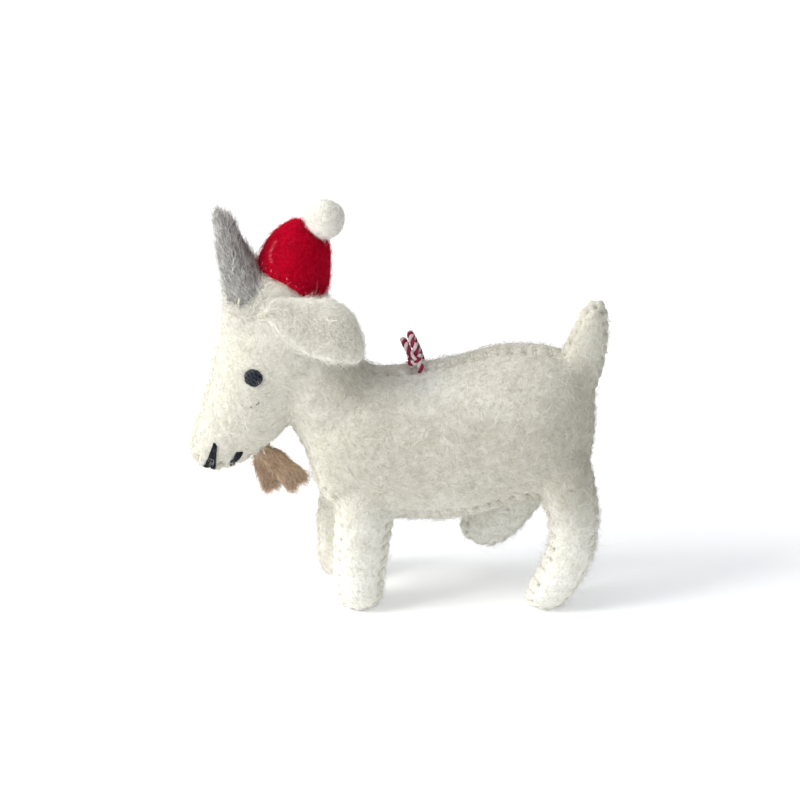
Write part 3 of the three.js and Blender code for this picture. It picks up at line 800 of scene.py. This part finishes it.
def sewn_relief(points, seams):
    """How far the stitches raise or sink each point, and how much painted shade darkens its stitch holes and
    seam line.
    """
    line_tree = kd_of(np.vstack([s.line for s in seams]))
    hole_tree = kd_of(np.array([hole for s in seams for hole in s.holes]))
    pinch = np.concatenate([bell(np.abs(s.along[:, None] - s.stitches).min(1), 0.75) for s in seams])
    marks = np.concatenate([np.repeat((0.5 if s.middle else 1.0) * s.strengths, 2) for s in seams])
    at, d = nearest(line_tree, points)
    which, hole = nearest(hole_tree, points)
    held = pinch[at]
    ridge = 0.55 * bell(d - 0.85, 0.65) * (1 - 1.05 * held)
    valley = 0.34 * bell(d - 2.1, 0.9) * (0.7 + 0.6 * held)
    push = ridge - valley - 0.45 * bell(d, 0.3) - 0.7 * bell(hole, 0.5)
    # Painted shade in and round the stitch holes and along the seam line.
    crease_shading = marks[which] * (0.9 * bell(hole, 0.42) + 0.28 * bell(hole, 1.0) + 0.3 * bell(d, 0.3))
    return push, crease_shading


def body_tone_and_shade(points):
    """How grey the wool is at each point, mostly painted shade and light: darker above the lit feet and more
    on the trunk and rump, painted shade on the nape and far front leg, a lighter back, a painted light patch
    behind the loop, and soft random mottling.
    """
    x, y, z = points.T
    # Painted shade: all above the legs darker than the lit feet, and more on the trunk and the rump.
    trunk = np.clip((z - 24) / 14, 0, 1) * np.clip((x + 36) / 16, 0, 1)
    rump = np.clip((x - 36) / 16, 0, 1) * np.clip((74 - z) / 10, 0, 1)
    above_legs = np.clip((z - 9) / 29, 0, 1) ** 1.2
    # Painted light on the top of the back; painted shade on the far front leg.
    back = np.clip((z - 54) / 10, 0, 1)
    far_leg = np.clip((30 - z) / 12, 0, 1) * (y > 2) * (x < 0)
    # A painted light patch behind the loop where the head's shadow falls, and painted shade on the nape.
    painted_light_behind_loop = bell(x - 8, 10) * bell(z - 66, 6)
    nape = bell(x + 13, 8) * bell(z - 68, 7)
    # Only the mottling is the wool's own random tone.
    mottle = 0.10 * lumps(points, 14.0, 4) + 0.14 * lumps(points, 3.0, 5) + 0.14 * lumps(points, 1.3, 6)
    patches_and_shade = 0.13 + 0.22 * rump + 0.23 * nape - 0.12 * back - 0.35 * painted_light_behind_loop + mottle
    return 0.57 * above_legs + 0.45 * far_leg + trunk * patches_and_shade


def make_body():
    points, triangles = body_skin()
    gusset = gusset_field(points)
    points, triangles, gusset, gusset_cut = cut(points, triangles, gusset)
    points, triangles, side, middle_cut = cut(points, triangles, points[:, 1])
    gusset = np.r_[gusset, gusset_field(points[len(gusset) :])]
    on_middle = gusset_field(points[middle_cut].mean(1)) > 0
    lines = seam_lines(points, gusset_cut) + seam_lines(points, middle_cut[on_middle])
    seams = [Seam(line, 11 + k) for k, line in enumerate(lines)]
    normal = normals_of(points, triangles)
    snap = faces_tree(points, triangles)
    for seam in seams:
        seam.pierce(snap)
    push, crease_shading = sewn_relief(points, seams)
    push += 0.16 * lumps(points, 7.5, 1) + 0.07 * lumps(points, 2.2, 2) + 0.045 * lumps(points, 0.95, 3)
    points = points + normal * push[:, None]
    points[:, 2] = np.maximum(points[:, 2], 0.12)
    # Painted shade at the stitches, and painted shade and light over the wool's random tone.
    crease_shading = np.clip(crease_shading, 0, 0.95)
    tone_and_shade = body_tone_and_shade(points)
    inside = gusset[triangles].mean(1) < 0
    left = side[triangles].mean(1) < 0
    shares = {
        "left_side_panel": ~inside & left,
        "right_side_panel": ~inside & ~left,
        "underbody_gusset": inside,
    }
    for name, chosen in shares.items():
        make_panel(name, points, triangles[chosen], normal, crease_shading, tone_and_shade)
    return points, triangles, seams


STUFFED_BY = {
    "left_side_panel": ["left_front_leg_stuffing", "left_rear_leg_stuffing", "head_stuffing"],
    "right_side_panel": ["right_front_leg_stuffing", "right_rear_leg_stuffing"],
    "underbody_gusset": ["body_stuffing"],
}
FELT_EDGE = 1.3
# Lying fibres and fibres that stand off the felt, per square millimetre.
NAP = 2.1
HALO = 1.1

# The plane of the cap's rim, and where along X the middle is that angles round the rim are taken from.
RIM_POINT = np.array([-28.9, 0, 95.0])
RIM_NORMAL = np.array([0.371, 0.139, 0.918])
RIM_X = -29
# The rim sags below its plane this much, at this angle.
RIM_DIP = 4.4
RIM_DIP_AT = 4.14


def rim_sag(angle):
    """How far the rim hangs below its plane at an angle round it."""
    off = (angle - RIM_DIP_AT + math.pi) % TAU - math.pi
    return RIM_DIP * bell(off, 0.42)


def above_rim(points):
    """The height over the cap's rim."""
    angle = math.pi - np.arctan2(points[:, 1], points[:, 0] - RIM_X)
    return (points - RIM_POINT) @ RIM_NORMAL + rim_sag(angle)


def make_panel(name, points, triangles, normal, crease_shading, tone_and_shade):
    """One felt panel: its outer face, turned in along its sewn edge."""
    used, index = np.unique(triangles, return_inverse=True)
    own, own_normal = points[used], normal[used]
    faces = index.reshape(-1, 3)
    edges = np.vstack([faces[:, [0, 1]], faces[:, [1, 2]], faces[:, [2, 0]]])
    key = np.sort(edges, 1)
    _, first, count = np.unique(key, axis=0, return_index=True, return_counts=True)
    border = edges[first[count == 1]]
    rim = np.unique(border)
    inner = np.full(len(own), -1)
    inner[rim] = len(own) + np.arange(len(rim))
    turned = own[rim] - own_normal[rim] * FELT_EDGE
    strip = np.stack([border[:, 1], border[:, 0], inner[border[:, 0]], inner[border[:, 1]]], 1)
    strip = np.vstack([strip[:, [0, 1, 2]], strip[:, [0, 2, 3]]])
    panel = new_object(name + "_felt", np.vstack([own, turned]), np.vstack([faces, strip]), [CREAM])
    # Painted shade at creases and stitch holes and on the turned-in edge; painted shade and light over random
    # tone.
    set_field(panel, "crease_shading", np.r_[crease_shading[used], np.full(len(rim), 0.5)])
    set_field(panel, "tone_and_shade", np.r_[tone_and_shade[used], np.zeros(len(rim))])
    dress(panel, "cream_felt", name, *STUFFED_BY[name])
    area = areas_of(own, faces).sum()
    seed = 20 + len(name)
    # The loose fibres take part of the felt's painted shade.
    shade = 0.45 * tone_and_shade[used]
    middles = own[faces].mean(1)
    from_cap = np.hypot(middles[:, 0] - RIM_X, middles[:, 1])
    under_cap = (above_rim(middles) > 0.6) & (from_cap < 10.5) & (middles[:, 2] > 86)
    faces = faces[~under_cap]
    for word, count, size, later, stray, wild in (
        ("_fuzz", NAP, (1.9, 0.065, 0.28), 0, 0.1, 0.7),
        ("_halo", HALO, (2.4, 0.07, 0.4), 7, 1.0, 1.1),
    ):
        way = {"stray": stray, "wild": wild, "shade": shade}
        wool = fibres(name + word, own, faces, int(area * count), size, CREAM_FUZZ, seed + later, **way)
        dress(wool, "cream_felt")


def on_skin(snap, path, lift):
    """The path laid on the skin, that far above it."""
    out = []
    for p in path:
        place, face_normal, _, _ = snap.find_nearest(Vector(p))
        out.append(np.array(place) + np.array(face_normal) * lift)
    return np.array(out)


def whip_stitch(start, end, radius=THREAD, lift=0.5, dip=0.9):
    """One thread loop over the skin from hole to hole, with both ends pulled in."""
    t = np.linspace(0, 1, 9)[:, None]
    path = on_skin(skin, start * (1 - t) + end * t, radius * lift)
    ends = [skin.find_nearest(Vector(p)) for p in (start, end)]
    first, last = (np.array(place) - np.array(face_normal) * dip for place, face_normal, _, _ in ends)
    return round_tube(np.vstack([first, path[1:-1], last]), radius, 6)


def make_seam_threads(seams):
    sewn = {"centre": [], "left_gusset": [], "right_gusset": []}
    for seam in seams:
        side = "centre" if seam.middle else "left_gusset" if seam.line[:, 1].mean() < 0 else "right_gusset"
        for start, end in zip(seam.holes[::2], seam.holes[1::2]):
            sewn[side].append(whip_stitch(start, end, lift=-0.1 if seam.middle else 0.15))
    for side, parts in sewn.items():
        name = side + "_seam_thread"
        dress(new_object(name + "_stitches", *merged(parts), [CREAM_THREAD]), "cream_thread", name)


skin_points, skin_triangles, skin_seams = make_body()
skin = faces_tree(skin_points, skin_triangles)
make_seam_threads(skin_seams)

# ---- ears

# Each ear station: its middle (x, distance from the goat's middle, z) and half its width.
EAR = [
    (-36.6, 11.6, 88.3, 1.9),
    (-35.2, 12.4, 88.7, 3.2),
    (-33.4, 13.0, 88.6, 4.5),
    (-30.1, 13.9, 87.7, 6.0),
    (-26.5, 14.8, 86.4, 7.2),
    (-22.6, 15.5, 85.5, 8.0),
    (-17.8, 16.4, 85.2, 8.4),
    (-13.6, 17.0, 83.7, 7.3),
    (-11.2, 17.3, 82.0, 5.4),
    (-9.9, 17.5, 80.9, 3.1),
    (-9.4, 17.6, 80.4, 1.2),
]
EAR_LEAN = 0.34
EAR_CUP = 1.9
EAR_THICK = 3.0
EAR_ROOT = np.array([-36.4, 0.0, 88.2])
RIGHT_EAR_DROOP = math.radians(42)


def turned_about_y(points, angle, pivot):
    c, s = math.cos(angle), math.sin(angle)
    p = np.asarray(points, float) - pivot
    return np.stack([p[..., 0] * c + p[..., 2] * s, p[..., 1], p[..., 2] * c - p[..., 0] * s], -1) + pivot


def make_ear(name, side, droop):
    rows = spline(EAR, 9)
    centre = rows[:, :3] * np.array([1, side, 1])
    half = np.maximum(rows[:, 3], 0.4)
    up = unit([0, -side * EAR_LEAN, 1.0])
    out = unit([0, side, EAR_LEAN])
    around = 72
    across = squared(np.cos(turns(around)), 0.75)
    through = squared(np.sin(turns(around)), 0.55)
    share = np.linspace(0, 1, len(rows))[:, None]
    cup = EAR_CUP * (half[:, None] / half.max())
    level = cup * (0.45 - across**2)
    level = level + bell(share, 0.2) * (1.9 * np.exp(-((across - 0.25) ** 2) / 0.06) - 1.1 * (across < 0.1))
    level = level + 1.5 * np.sin(math.pi * share) * np.maximum(-across, 0) ** 4
    thick = EAR_THICK / 2 * np.minimum(1, 0.5 + 2.2 * np.sin(np.pi * np.clip(share, 0.04, 0.97)))
    rings = (
        centre[:, None]
        + up * (half[:, None] * across)[..., None]
        + out * (level + thick * through)[..., None]
    )
    points, faces = closed_tube(turned_about_y(rings, droop, EAR_ROOT))
    triangles = triangles_of(faces)
    normal = normals_of(points, triangles)
    bumps = 0.16 * lumps(points, 5.0, 5 + side) + 0.07 * lumps(points, 1.6, 6)
    points = points + normal * bumps[:, None]
    root = np.linalg.norm(points - points[: around // 2].mean(0), axis=1)
    felt_piece = new_object(name + "_felt", points, triangles, [CREAM])
    # Painted shade in the ear's hollow and at its pinched root.
    hollow_shade = np.r_[(0.17 * np.sin(math.pi * share) * bell(across + 0.15, 0.5)).ravel(), 0, 0]
    set_field(felt_piece, "crease_shading", 0.5 * bell(root, 2.2) + hollow_shade)
    # Painted shade on the middle of the ear, lighter towards its rims.
    set_field(felt_piece, "tone_and_shade", np.r_[np.tile(0.66 - 0.50 * np.abs(across) ** 3, len(rows)), 0, 0])
    size = (2.1, 0.06, 0.35)
    loose = fibres(name + "_fuzz", points, triangles, 9000, size, CREAM_FUZZ, 40 + side, stray=0.7)
    for piece in (felt_piece, loose):
        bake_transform(piece)
    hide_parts(name)


def make_ear_stitch(name, side):
    parts = []
    for z, reach in ((89.9, 2.6), (88.1, 3.1), (86.4, 2.6)):
        start = np.array([-38.4, side * 11.6, z])
        parts.append(whip_stitch(start, start + np.array([reach, side * 0.9, 0.2]), 0.26, 0.8, 1.2))
    dress(new_object(name + "_thread", *merged(parts), [CREAM_THREAD]), "cream_thread", name)


for ear_name, ear_side, ear_droop in (("left_ear", -1, 0.0), ("right_ear", 1, RIGHT_EAR_DROOP)):
    make_ear(ear_name, ear_side, ear_droop)
    make_ear_stitch(ear_name + "_stitch", ear_side)

# ---- horns

LEFT_HORN = [
    (-46.4, 90.4, -35.7, 89.6, 4.1, -5.2),
    (-47.2, 93.2, -36.8, 93.7, 4.1, -5.3),
    (-48.1, 96.5, -38.8, 97.2, 3.8, -5.4),
    (-49.1, 102, -42.6, 102.6, 3.3, -5.5),
    (-49.8, 108, -45.4, 108.6, 2.6, -5.6),
    (-50.2, 113.2, -47.4, 113.6, 1.9, -5.6),
    (-50.2, 115.2, -48.2, 115.6, 1.2, -5.6),
    (-49.9, 116.2, -49.1, 116.4, 0.6, -5.6),
]
RIGHT_HORN = [
    (-46.5, 90.4, -36.9, 90.6, 4.0, 5.2),
    (-46.9, 93.5, -37.9, 94.2, 3.9, 5.0),
    (-47.6, 99.5, -41.2, 100.2, 3.4, 4.2),
    (-48.1, 105, -44.2, 105.8, 2.6, 3.2),
    (-48.2, 109, -45.6, 109.6, 1.9, 2.5),
    (-47.8, 110.8, -46.0, 111.2, 1.1, 2.1),
    (-47.3, 111.5, -46.5, 111.7, 0.6, 2.1),
]
HORN_BASE = 90.8


def make_horn(name, rings, seed):
    """A felt cone with a ragged hem, long loose fibres up its sides and a hairy tip."""
    points, faces = loft(rings, 12, 56, fullness=2.4)
    triangles = triangles_of(faces)
    normal = normals_of(points, triangles)
    above = np.maximum(points[:, 2] - HORN_BASE, 0)
    streak = points * np.array([1, 1, 0.22])
    push = 0.34 * lumps(streak, 2.0, seed) + 0.14 * lumps(points, 1.3, seed + 1) + 0.3 * bell(above, 1.4)
    points = points + normal * push[:, None]
    points[:, 2] += 1.2 * lumps(points * np.array([1, 1, 0]), 1.8, seed + 2) * bell(above, 1.5)
    horn = new_object(name + "_felt", points, triangles, [GREY])
    # Painted shade at the foot of the horn, where it meets the head.
    set_field(horn, "crease_shading", 0.5 * bell(above, 0.6))
    top, base = np.array(rings[-1]), np.array(rings[0])
    lay = 2.0 * unit([top[0] + top[2] - base[0] - base[2], 0, top[1] + top[3] - base[1] - base[3]])
    dress(horn, "grey_felt", name, name + "_stuffing")
    height = points[triangles][:, :, 2].mean(1)
    tip, hem = triangles[height > points[:, 2].max() - 4.5], triangles[height < HORN_BASE + 1.5]
    for word, where, count, size, later, *way in (
        ("_fuzz", triangles, 4600, (2.6, 0.10, 0.3), 0, lay, 0.35, 0.85),
        ("_tuft", tip, 260, (1.8, 0.08, 0.3), 3, lay * 0.5, 0.7, 1.0),
        ("_fringe", hem, 420, (1.8, 0.08, 0.25), 4, -lay, 0.3, 0.7),
    ):
        dress(fibres(name + word, points, where, count, size, GREY_FUZZ, seed + later, *way), "grey_felt")
    return faces_tree(points, triangles)


def foot_of(base):
    """The middle of a horn's lowest ring."""
    return np.array([(base[0] + base[2]) / 2, base[5], base[1]])


def make_collar(name, rings, seed):
    """Wool of the head that stands up round the foot of a horn."""
    middle = foot_of(rings[0])
    offset = skin_points[skin_triangles].mean(1) - middle
    flat = np.hypot(offset[:, 0] / 5.6, offset[:, 1] / 5.0)
    near = skin_triangles[(flat < 1.35) & (flat > 0.75) & (offset[:, 2] > -4)]
    way = {"lay": 0.8 * UP, "stray": 0.6, "wild": 0.9}
    wool = fibres(name + "_collar", skin_points, near, 1500, (2.3, 0.07, 0.4), CREAM_FUZZ, seed, **way)
    dress(wool, "cream_felt")


def make_horn_stitches(name, rings, horn_skin):
    """Short fat whip stitches over the horn's hem into the head, all round it."""
    base, middle = rings[0], foot_of(rings[0])
    reach, half = (base[2] - base[0]) / 2, base[4]
    count = 8
    parts = []
    for k in range(count):
        angle = k / count * TAU + 0.35
        spot = middle + np.array([reach * math.cos(angle), half * math.sin(angle), 0.4])
        outward = unit((spot - middle) * np.array([1, 1, 0]))
        upper = on_skin(horn_skin, [spot + UP * (0.8 + 0.3 * math.sin(5 * k))], 0.05)[0]
        lower = on_skin(skin, [spot - UP * 1.3 + 0.5 * outward], 0.1)[0]
        path = [upper - 0.9 * outward, upper, (upper + lower) / 2 + 0.35 * outward, lower, lower - 0.9 * UP]
        parts.append(round_tube(spline(path, 5), 0.34, 8))
    dress(new_object(name + "_stitches", *merged(parts), [CREAM_THREAD]), "cream_thread", name + "_stitch")


for horn_name, horn_rings, horn_seed in (("left_horn", LEFT_HORN, 51), ("right_horn", RIGHT_HORN, 61)):
    make_horn_stitches(horn_name, horn_rings, make_horn(horn_name, horn_rings, horn_seed))
    make_collar(horn_name, horn_rings, horn_seed + 6)

# ---- cap and felt ball

CAP = [
    (-38.7, 98.4, -19.6, 91.2, 9.7, 0),
    (-37.8, 100.9, -19.0, 94.6, 9.8, 0),
    (-36.6, 103.6, -18.8, 98.4, 9.4, 0),
    (-35.0, 106.1, -18.8, 101.8, 8.5, 0),
    (-32.8, 108.3, -19.2, 104.3, 7.0, 0),
    (-30.4, 110.0, -20.9, 106.0, 5.0, 0),
    (-28.6, 111.1, -23.2, 107.9, 2.9, 0),
    (-27.4, 111.4, -25.4, 109.7, 1.2, 0),
]
CAP_THICK = 1.8
CAP_STITCHES = 13
# A pinched crease high on the left of the cap.
CREASE = [(-33.7, -4.4, 106.6), (-35.0, -5.2, 105.0), (-35.6, -6.2, 103.4), (-35.3, -7.4, 101.8)]
BALL = np.array([-20.2, 0, 111.4])
BALL_RADIUS = 5.5


def over_head(rings, clearance):
    """The rings pushed out of the head until they lie on its wool."""
    for row, gap in zip(rings, clearance):
        for k, point in enumerate(row):
            spot, normal = skin.find_nearest(point)[:2]
            short = gap - float((point - np.array(spot)) @ np.array(normal))
            if short > 0:
                row[k] = point + short * np.array(normal)


def make_cap():
    """A felt cone with a soft rolled hem, a pinched crease on its left and puckers where it is sewn."""
    centre, reach, half = sections(CAP, 10)
    around = 96
    angle = turns(around)
    c, s = np.cos(angle), np.sin(angle)
    roll = RIM_NORMAL[1] / RIM_NORMAL[2]

    def ring(k, inset):
        long = np.linalg.norm(reach[k])
        out = centre[k] + np.outer(c, reach[k] / long * (long - inset))
        out[:, 1] += (half[k] - inset) * s
        out[:, 2] -= (roll * out[:, 1] + rim_sag(angle)) * max(1 - k / 50, 0)
        return out

    outer = [ring(k, 0.0) for k in range(len(centre))]
    down = unit(centre[0] - centre[8])
    hem = [ring(0, 0.25) + down * 0.75, ring(0, 0.95) + down * 0.95, ring(0, 1.6) + down * 0.5]
    lining = [ring(k, CAP_THICK) for k in (0, 4, 9)]
    over_head([hem[1], hem[0], *outer[:26]], [0.35, 0.8] + [1.1] * 26)
    rings = np.array([*lining[::-1], *hem[::-1], *outer])
    points, faces = closed_tube(rings)
    triangles = triangles_of([f for f in faces if rings.shape[0] * around not in f])
    normal = normals_of(points, triangles)
    ring_angle = np.arctan2(points[:, 1], points[:, 0] - RIM_X)
    low = above_rim(points)
    pucker = bell(low - 0.6, 1.3) * np.maximum(np.cos(ring_angle * CAP_STITCHES + 0.6), 0) ** 8
    wave = 0.3 * np.sin(ring_angle * 3 + 1.0) * bell(low, 4.0)
    fold = on_skin(faces_tree(points, triangles), spline(CREASE, 12), 0.0)
    near = nearest(kd_of(fold), points)[1]
    push = 0.28 * lumps(points, 5.0, 71) + 0.09 * lumps(points, 1.4, 72) + wave
    push -= 0.45 * pucker + 0.5 * bell(near, 0.32) - 0.25 * bell(near - 1.0, 0.6)
    points = points + normal * push[:, None]
    cap = new_object("cap_felt", points, triangles, [RED])
    # A painted highlight along the pinched fold.
    set_field(cap, "crease_shading", 0.62 * bell(near, 0.24))
    loose = fibres("cap_fuzz", points, triangles, 7500, (1.9, 0.06, 0.3), RED_FUZZ, 73, stray=0.55)
    dress(cap, "red_felt", "cap")
    dress(loose, "red_felt")
    cap_skin = faces_tree(points, triangles)
    parts = []
    for k in range(CAP_STITCHES):
        turn = (math.pi - 0.6 + k * TAU) / CAP_STITCHES
        spot = RIM_POINT + np.array([9.6 * math.cos(turn), 9.8 * math.sin(turn), 0.0])
        spot[2] -= (spot - RIM_POINT) @ RIM_NORMAL / RIM_NORMAL[2] + rim_sag(math.pi - turn)
        outward = unit((spot - RIM_POINT) * np.array([1, 1, 0]))
        upper, lower = on_skin(cap_skin, [spot + UP * 1.2, spot + UP * 0.5], 0.03)
        path = spline([upper - outward * 0.8, upper, lower, lower - outward * 0.8], 5)
        parts.append(round_tube(path, 0.06, 6))
    dress(new_object("cap_rim_stitches", *merged(parts), [WHITE_THREAD]), "red_thread", "cap_rim_stitch")


def make_ball():
    """A ball of matted wool."""
    rows, around = 40, 64
    tilt = np.linspace(0.03, math.pi - 0.03, rows)
    turn = turns(around)
    level = np.repeat(np.cos(tilt)[:, None], around, 1)
    rings = np.stack([np.outer(np.sin(tilt), np.cos(turn)), np.outer(np.sin(tilt), np.sin(turn)), level], -1)
    points, faces = closed_tube(BALL + BALL_RADIUS * 0.97 * rings)
    triangles = triangles_of(faces)
    normal = unit(points - BALL)
    points = points + normal * (0.18 * lumps(points, 3.5, 81) + 0.06 * lumps(points, 1.0, 82))[:, None]
    ball = new_object("felt_ball_wool", points, triangles, [WHITE])
    loose = fibres("felt_ball_fuzz", points, triangles, 3200, (1.7, 0.06, 0.15), WHITE_FUZZ, 83, stray=0.25)
    dress(ball, "white_felt_ball", "felt_ball", "felt_ball_thread")
    dress(loose, "white_felt_ball")


make_cap()
make_ball()

# ---- eyes, nose and mouth

EYE = np.array([-39.7, 12.0, 69.3])
EYE_RADIUS = 2.55
EYE_HEIGHT = 1.75
# Each patch of satin stitch: its two ends at the tip and at the foot, and how many strands fan out between.
NOSE = [((-50.4, 47.6), (-53.4, 39.0)), ((-50.0, 47.0), (-50.9, 38.3)), 9]
MOUTH = [((-44.3, 44.3), (-45.8, 40.2)), ((-43.0, 44.3), (-44.4, 40.4)), 6]
NOSE_Y, MOUTH_Y = 7.6, 8.6


def make_eye(name, side):
    """Thread wound into a small dome: fine strands at several angles over a padded middle, the strands
    lighter as painted sheen.
    """
    centre = on_skin(skin, [EYE * np.array([1, side, 1])], -0.2)[0]
    out = np.array(skin.find_nearest(Vector(centre))[1])
    run = unit(np.cross(out, [0.75, 0, 0.65]))
    aside = np.cross(out, run)
    rows, around = 14, 40
    tilt = np.linspace(0.05, math.pi - 0.05, rows)[:, None, None]
    turn = turns(around)[None, :, None]
    flat = EYE_RADIUS * np.sin(tilt) * (np.cos(turn) * run + np.sin(turn) * aside)
    dome = closed_tube(centre + flat + EYE_HEIGHT * np.cos(tilt) * out)
    parts, slots = [dome], [0] * len(dome[1])
    strands = 15
    for k in range(strands):
        lean = 0.5 * math.sin(2.1 * k)
        along = run * math.cos(lean) + aside * math.sin(lean)
        beside = aside * math.cos(lean) - run * math.sin(lean)
        at = (k + 0.5) / strands * 1.84 - 0.92
        span = math.sqrt(1 - at * at)
        t = np.linspace(-1, 1, 13)
        height = np.sqrt(np.maximum(1 - at * at - (span * t) ** 2, 0))
        line = centre + EYE_RADIUS * 1.02 * (np.outer(t * span, along) + at * beside)
        line = line + np.outer(height * EYE_HEIGHT * 1.04, out)
        tube = round_tube(line, 0.12, 6, out)
        parts.append(tube)
        slots += [1] * len(tube[1])
    dress(new_object(name + "_thread", *merged(parts), [NAVY, NAVY_SHEEN_STRAND], slots), "navy_thread", name)


def make_embroidery(name, patch, side, wide):
    """Satin stitch: strands side by side from a tip, over the edge of the muzzle."""
    first, last, count = patch
    parts, slots = [], []
    for k in range(count):
        share = k / (count - 1)
        (x0, z0), (x1, z1) = np.array(first) * (1 - share) + np.array(last) * share
        t = np.linspace(0, 1, 15)[:, None]
        path = np.array([x0, side * wide, z0]) * (1 - t) + np.array([x1, side * wide * 0.86, z1]) * t
        line = on_skin(skin, path, 0.34 + 0.1 * (k % 2))
        inward = np.array([0, -side * 1.0, 0.3])
        line = np.vstack([line[0] + inward, line, line[-1] + inward + np.array([0, 0, 0.8])])
        tube = round_tube(line, 0.36, 8)
        parts.append(tube)
        # Every fourth strand takes the lighter navy as painted sheen.
        slots += [k % 4 == 2] * len(tube[1])
    dress(new_object(name + "_satin", *merged(parts), [NAVY, NAVY_SHEEN_STRAND], slots), "navy_thread", name)


for word, way in (("left", -1), ("right", 1)):
    make_eye(word + "_eye", way)
    make_embroidery(word + "_nose_embroidery", NOSE, way, NOSE_Y)
    make_embroidery(word + "_mouth_embroidery", MOUTH, way, MOUTH_Y)

# Three short dark fibres caught in the wool of the left cheek.
SPECKS = [
    ((-38.3, -12, 61.9), (-38.6, -12, 61.2)),
    ((-40.2, -12, 60.3), (-40.7, -12, 60.0)),
    ((-38.7, -12, 61.1), (-39.1, -12, 61.0)),
]


def make_specks():
    parts = []
    for start, end in SPECKS:
        line = on_skin(skin, np.linspace(start, end, 6), 0.12)
        parts.append(round_tube(line, 0.12, 6))
    dress(new_object("cheek_dark_fibres", *merged(parts), [NAVY]), "navy_thread")


make_specks()

# ---- beard

BEARD_ROOT = np.array([-36.4, 0.0, 41.9])
STRIP_THICK = 1.5


def make_strip(name, way, root, tip, bow, seed):
    """A strip of felt with a frayed lower end."""
    line = spline(way, 10)
    y = way[0][1]
    t = np.linspace(0, 1, len(line))[:, None]
    run = tangents(line)
    across = unit(np.cross(run, [0, 1, 0]))
    through = np.array([0, 1.0, 0])
    width = (0.9 + (root - 0.9) * np.minimum(t / 0.12, 1) + (tip - root) * t) * (1 + 0.05 * np.sin(17 * t))
    around = 48
    c = squared(np.cos(turns(around)), 0.6)
    s = squared(np.sin(turns(around)), 0.5)
    ragged = 0.5 * np.sin(c * 9 + seed) + 0.35 * np.sin(c * 21 + 2 * seed)
    level = STRIP_THICK / 2 * s * (1 - 0.25 * t**4) + bow * (c**2 - 0.3) * np.sin(math.pi * t)
    rings = (
        line[:, None]
        + across[:, None] * (width * c)[..., None]
        + through * level[..., None]
        + run[:, None] * (ragged * t**6)[..., None]
    )
    points, faces = closed_tube(rings)
    triangles = triangles_of(faces)
    bumps = 0.13 * lumps(points, 2.4, seed) + 0.08 * lumps(points, 0.9, seed + 1)
    points = points + normals_of(points, triangles) * bumps[:, None]
    strip = new_object(name + "_felt", points, triangles, [TAN])
    from_root = np.linalg.norm(points - BEARD_ROOT - [0, y, 0], axis=1)
    # Painted shade at the strip's root, where it is sewn under the chin.
    set_field(strip, "crease_shading", 0.5 * bell(from_root, 0.8))
    lay = 1.6 * run[len(run) // 2]
    size = (2.0, 0.075, 0.25)
    loose = fibres(name + "_fuzz", points, triangles, 2600, size, TAN_FUZZ, seed, lay, 0.35, 0.8)
    end = triangles[np.linalg.norm(points[triangles].mean(1) - line[-1], axis=1) < tip * 1.15]
    way = {"lay": 2.0 * run[-1], "stray": 0.5, "wild": 0.8}
    frayed = fibres(name + "_frayed_end", points, end, 900, (2.4, 0.07, 0.2), TAN_FUZZ, seed + 5, **way)
    for piece in (strip, loose, frayed):
        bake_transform(piece)
    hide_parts(name)


def make_beard():
    start = BEARD_ROOT + [-0.6, -2.3, 0.3]
    end = BEARD_ROOT + [0.7, 2.3, 0.2]
    under = (start + end) / 2 - [0, 0, 0.1]
    path = spline([start + [0, 0.8, 1.6], start, under, end, end + [0, -0.8, 1.6]], 6)
    stitch = new_object("beard_stitch_thread", *round_tube(path, 0.28, 8), [CREAM_THREAD])
    dress(stitch, "cream_thread", "beard_stitch")
    long_way = [(-36.0, 43.5), (-36.2, 41.9), (-33.6, 39.2), (-30.5, 36.0), (-27.9, 33.0)]
    short_way = [(-37.2, 43.2), (-37.6, 41.6), (-37.4, 38.0), (-36.4, 34.4), (-35.2, 31.2)]
    make_strip("long_beard_strip", [(x, -1.15, z) for x, z in long_way], 2.4, 3.5, 0.35, 91)
    make_strip("short_beard_strip", [(x, 1.15, z) for x, z in short_way], 2.2, 2.3, -0.25, 97)


make_beard()
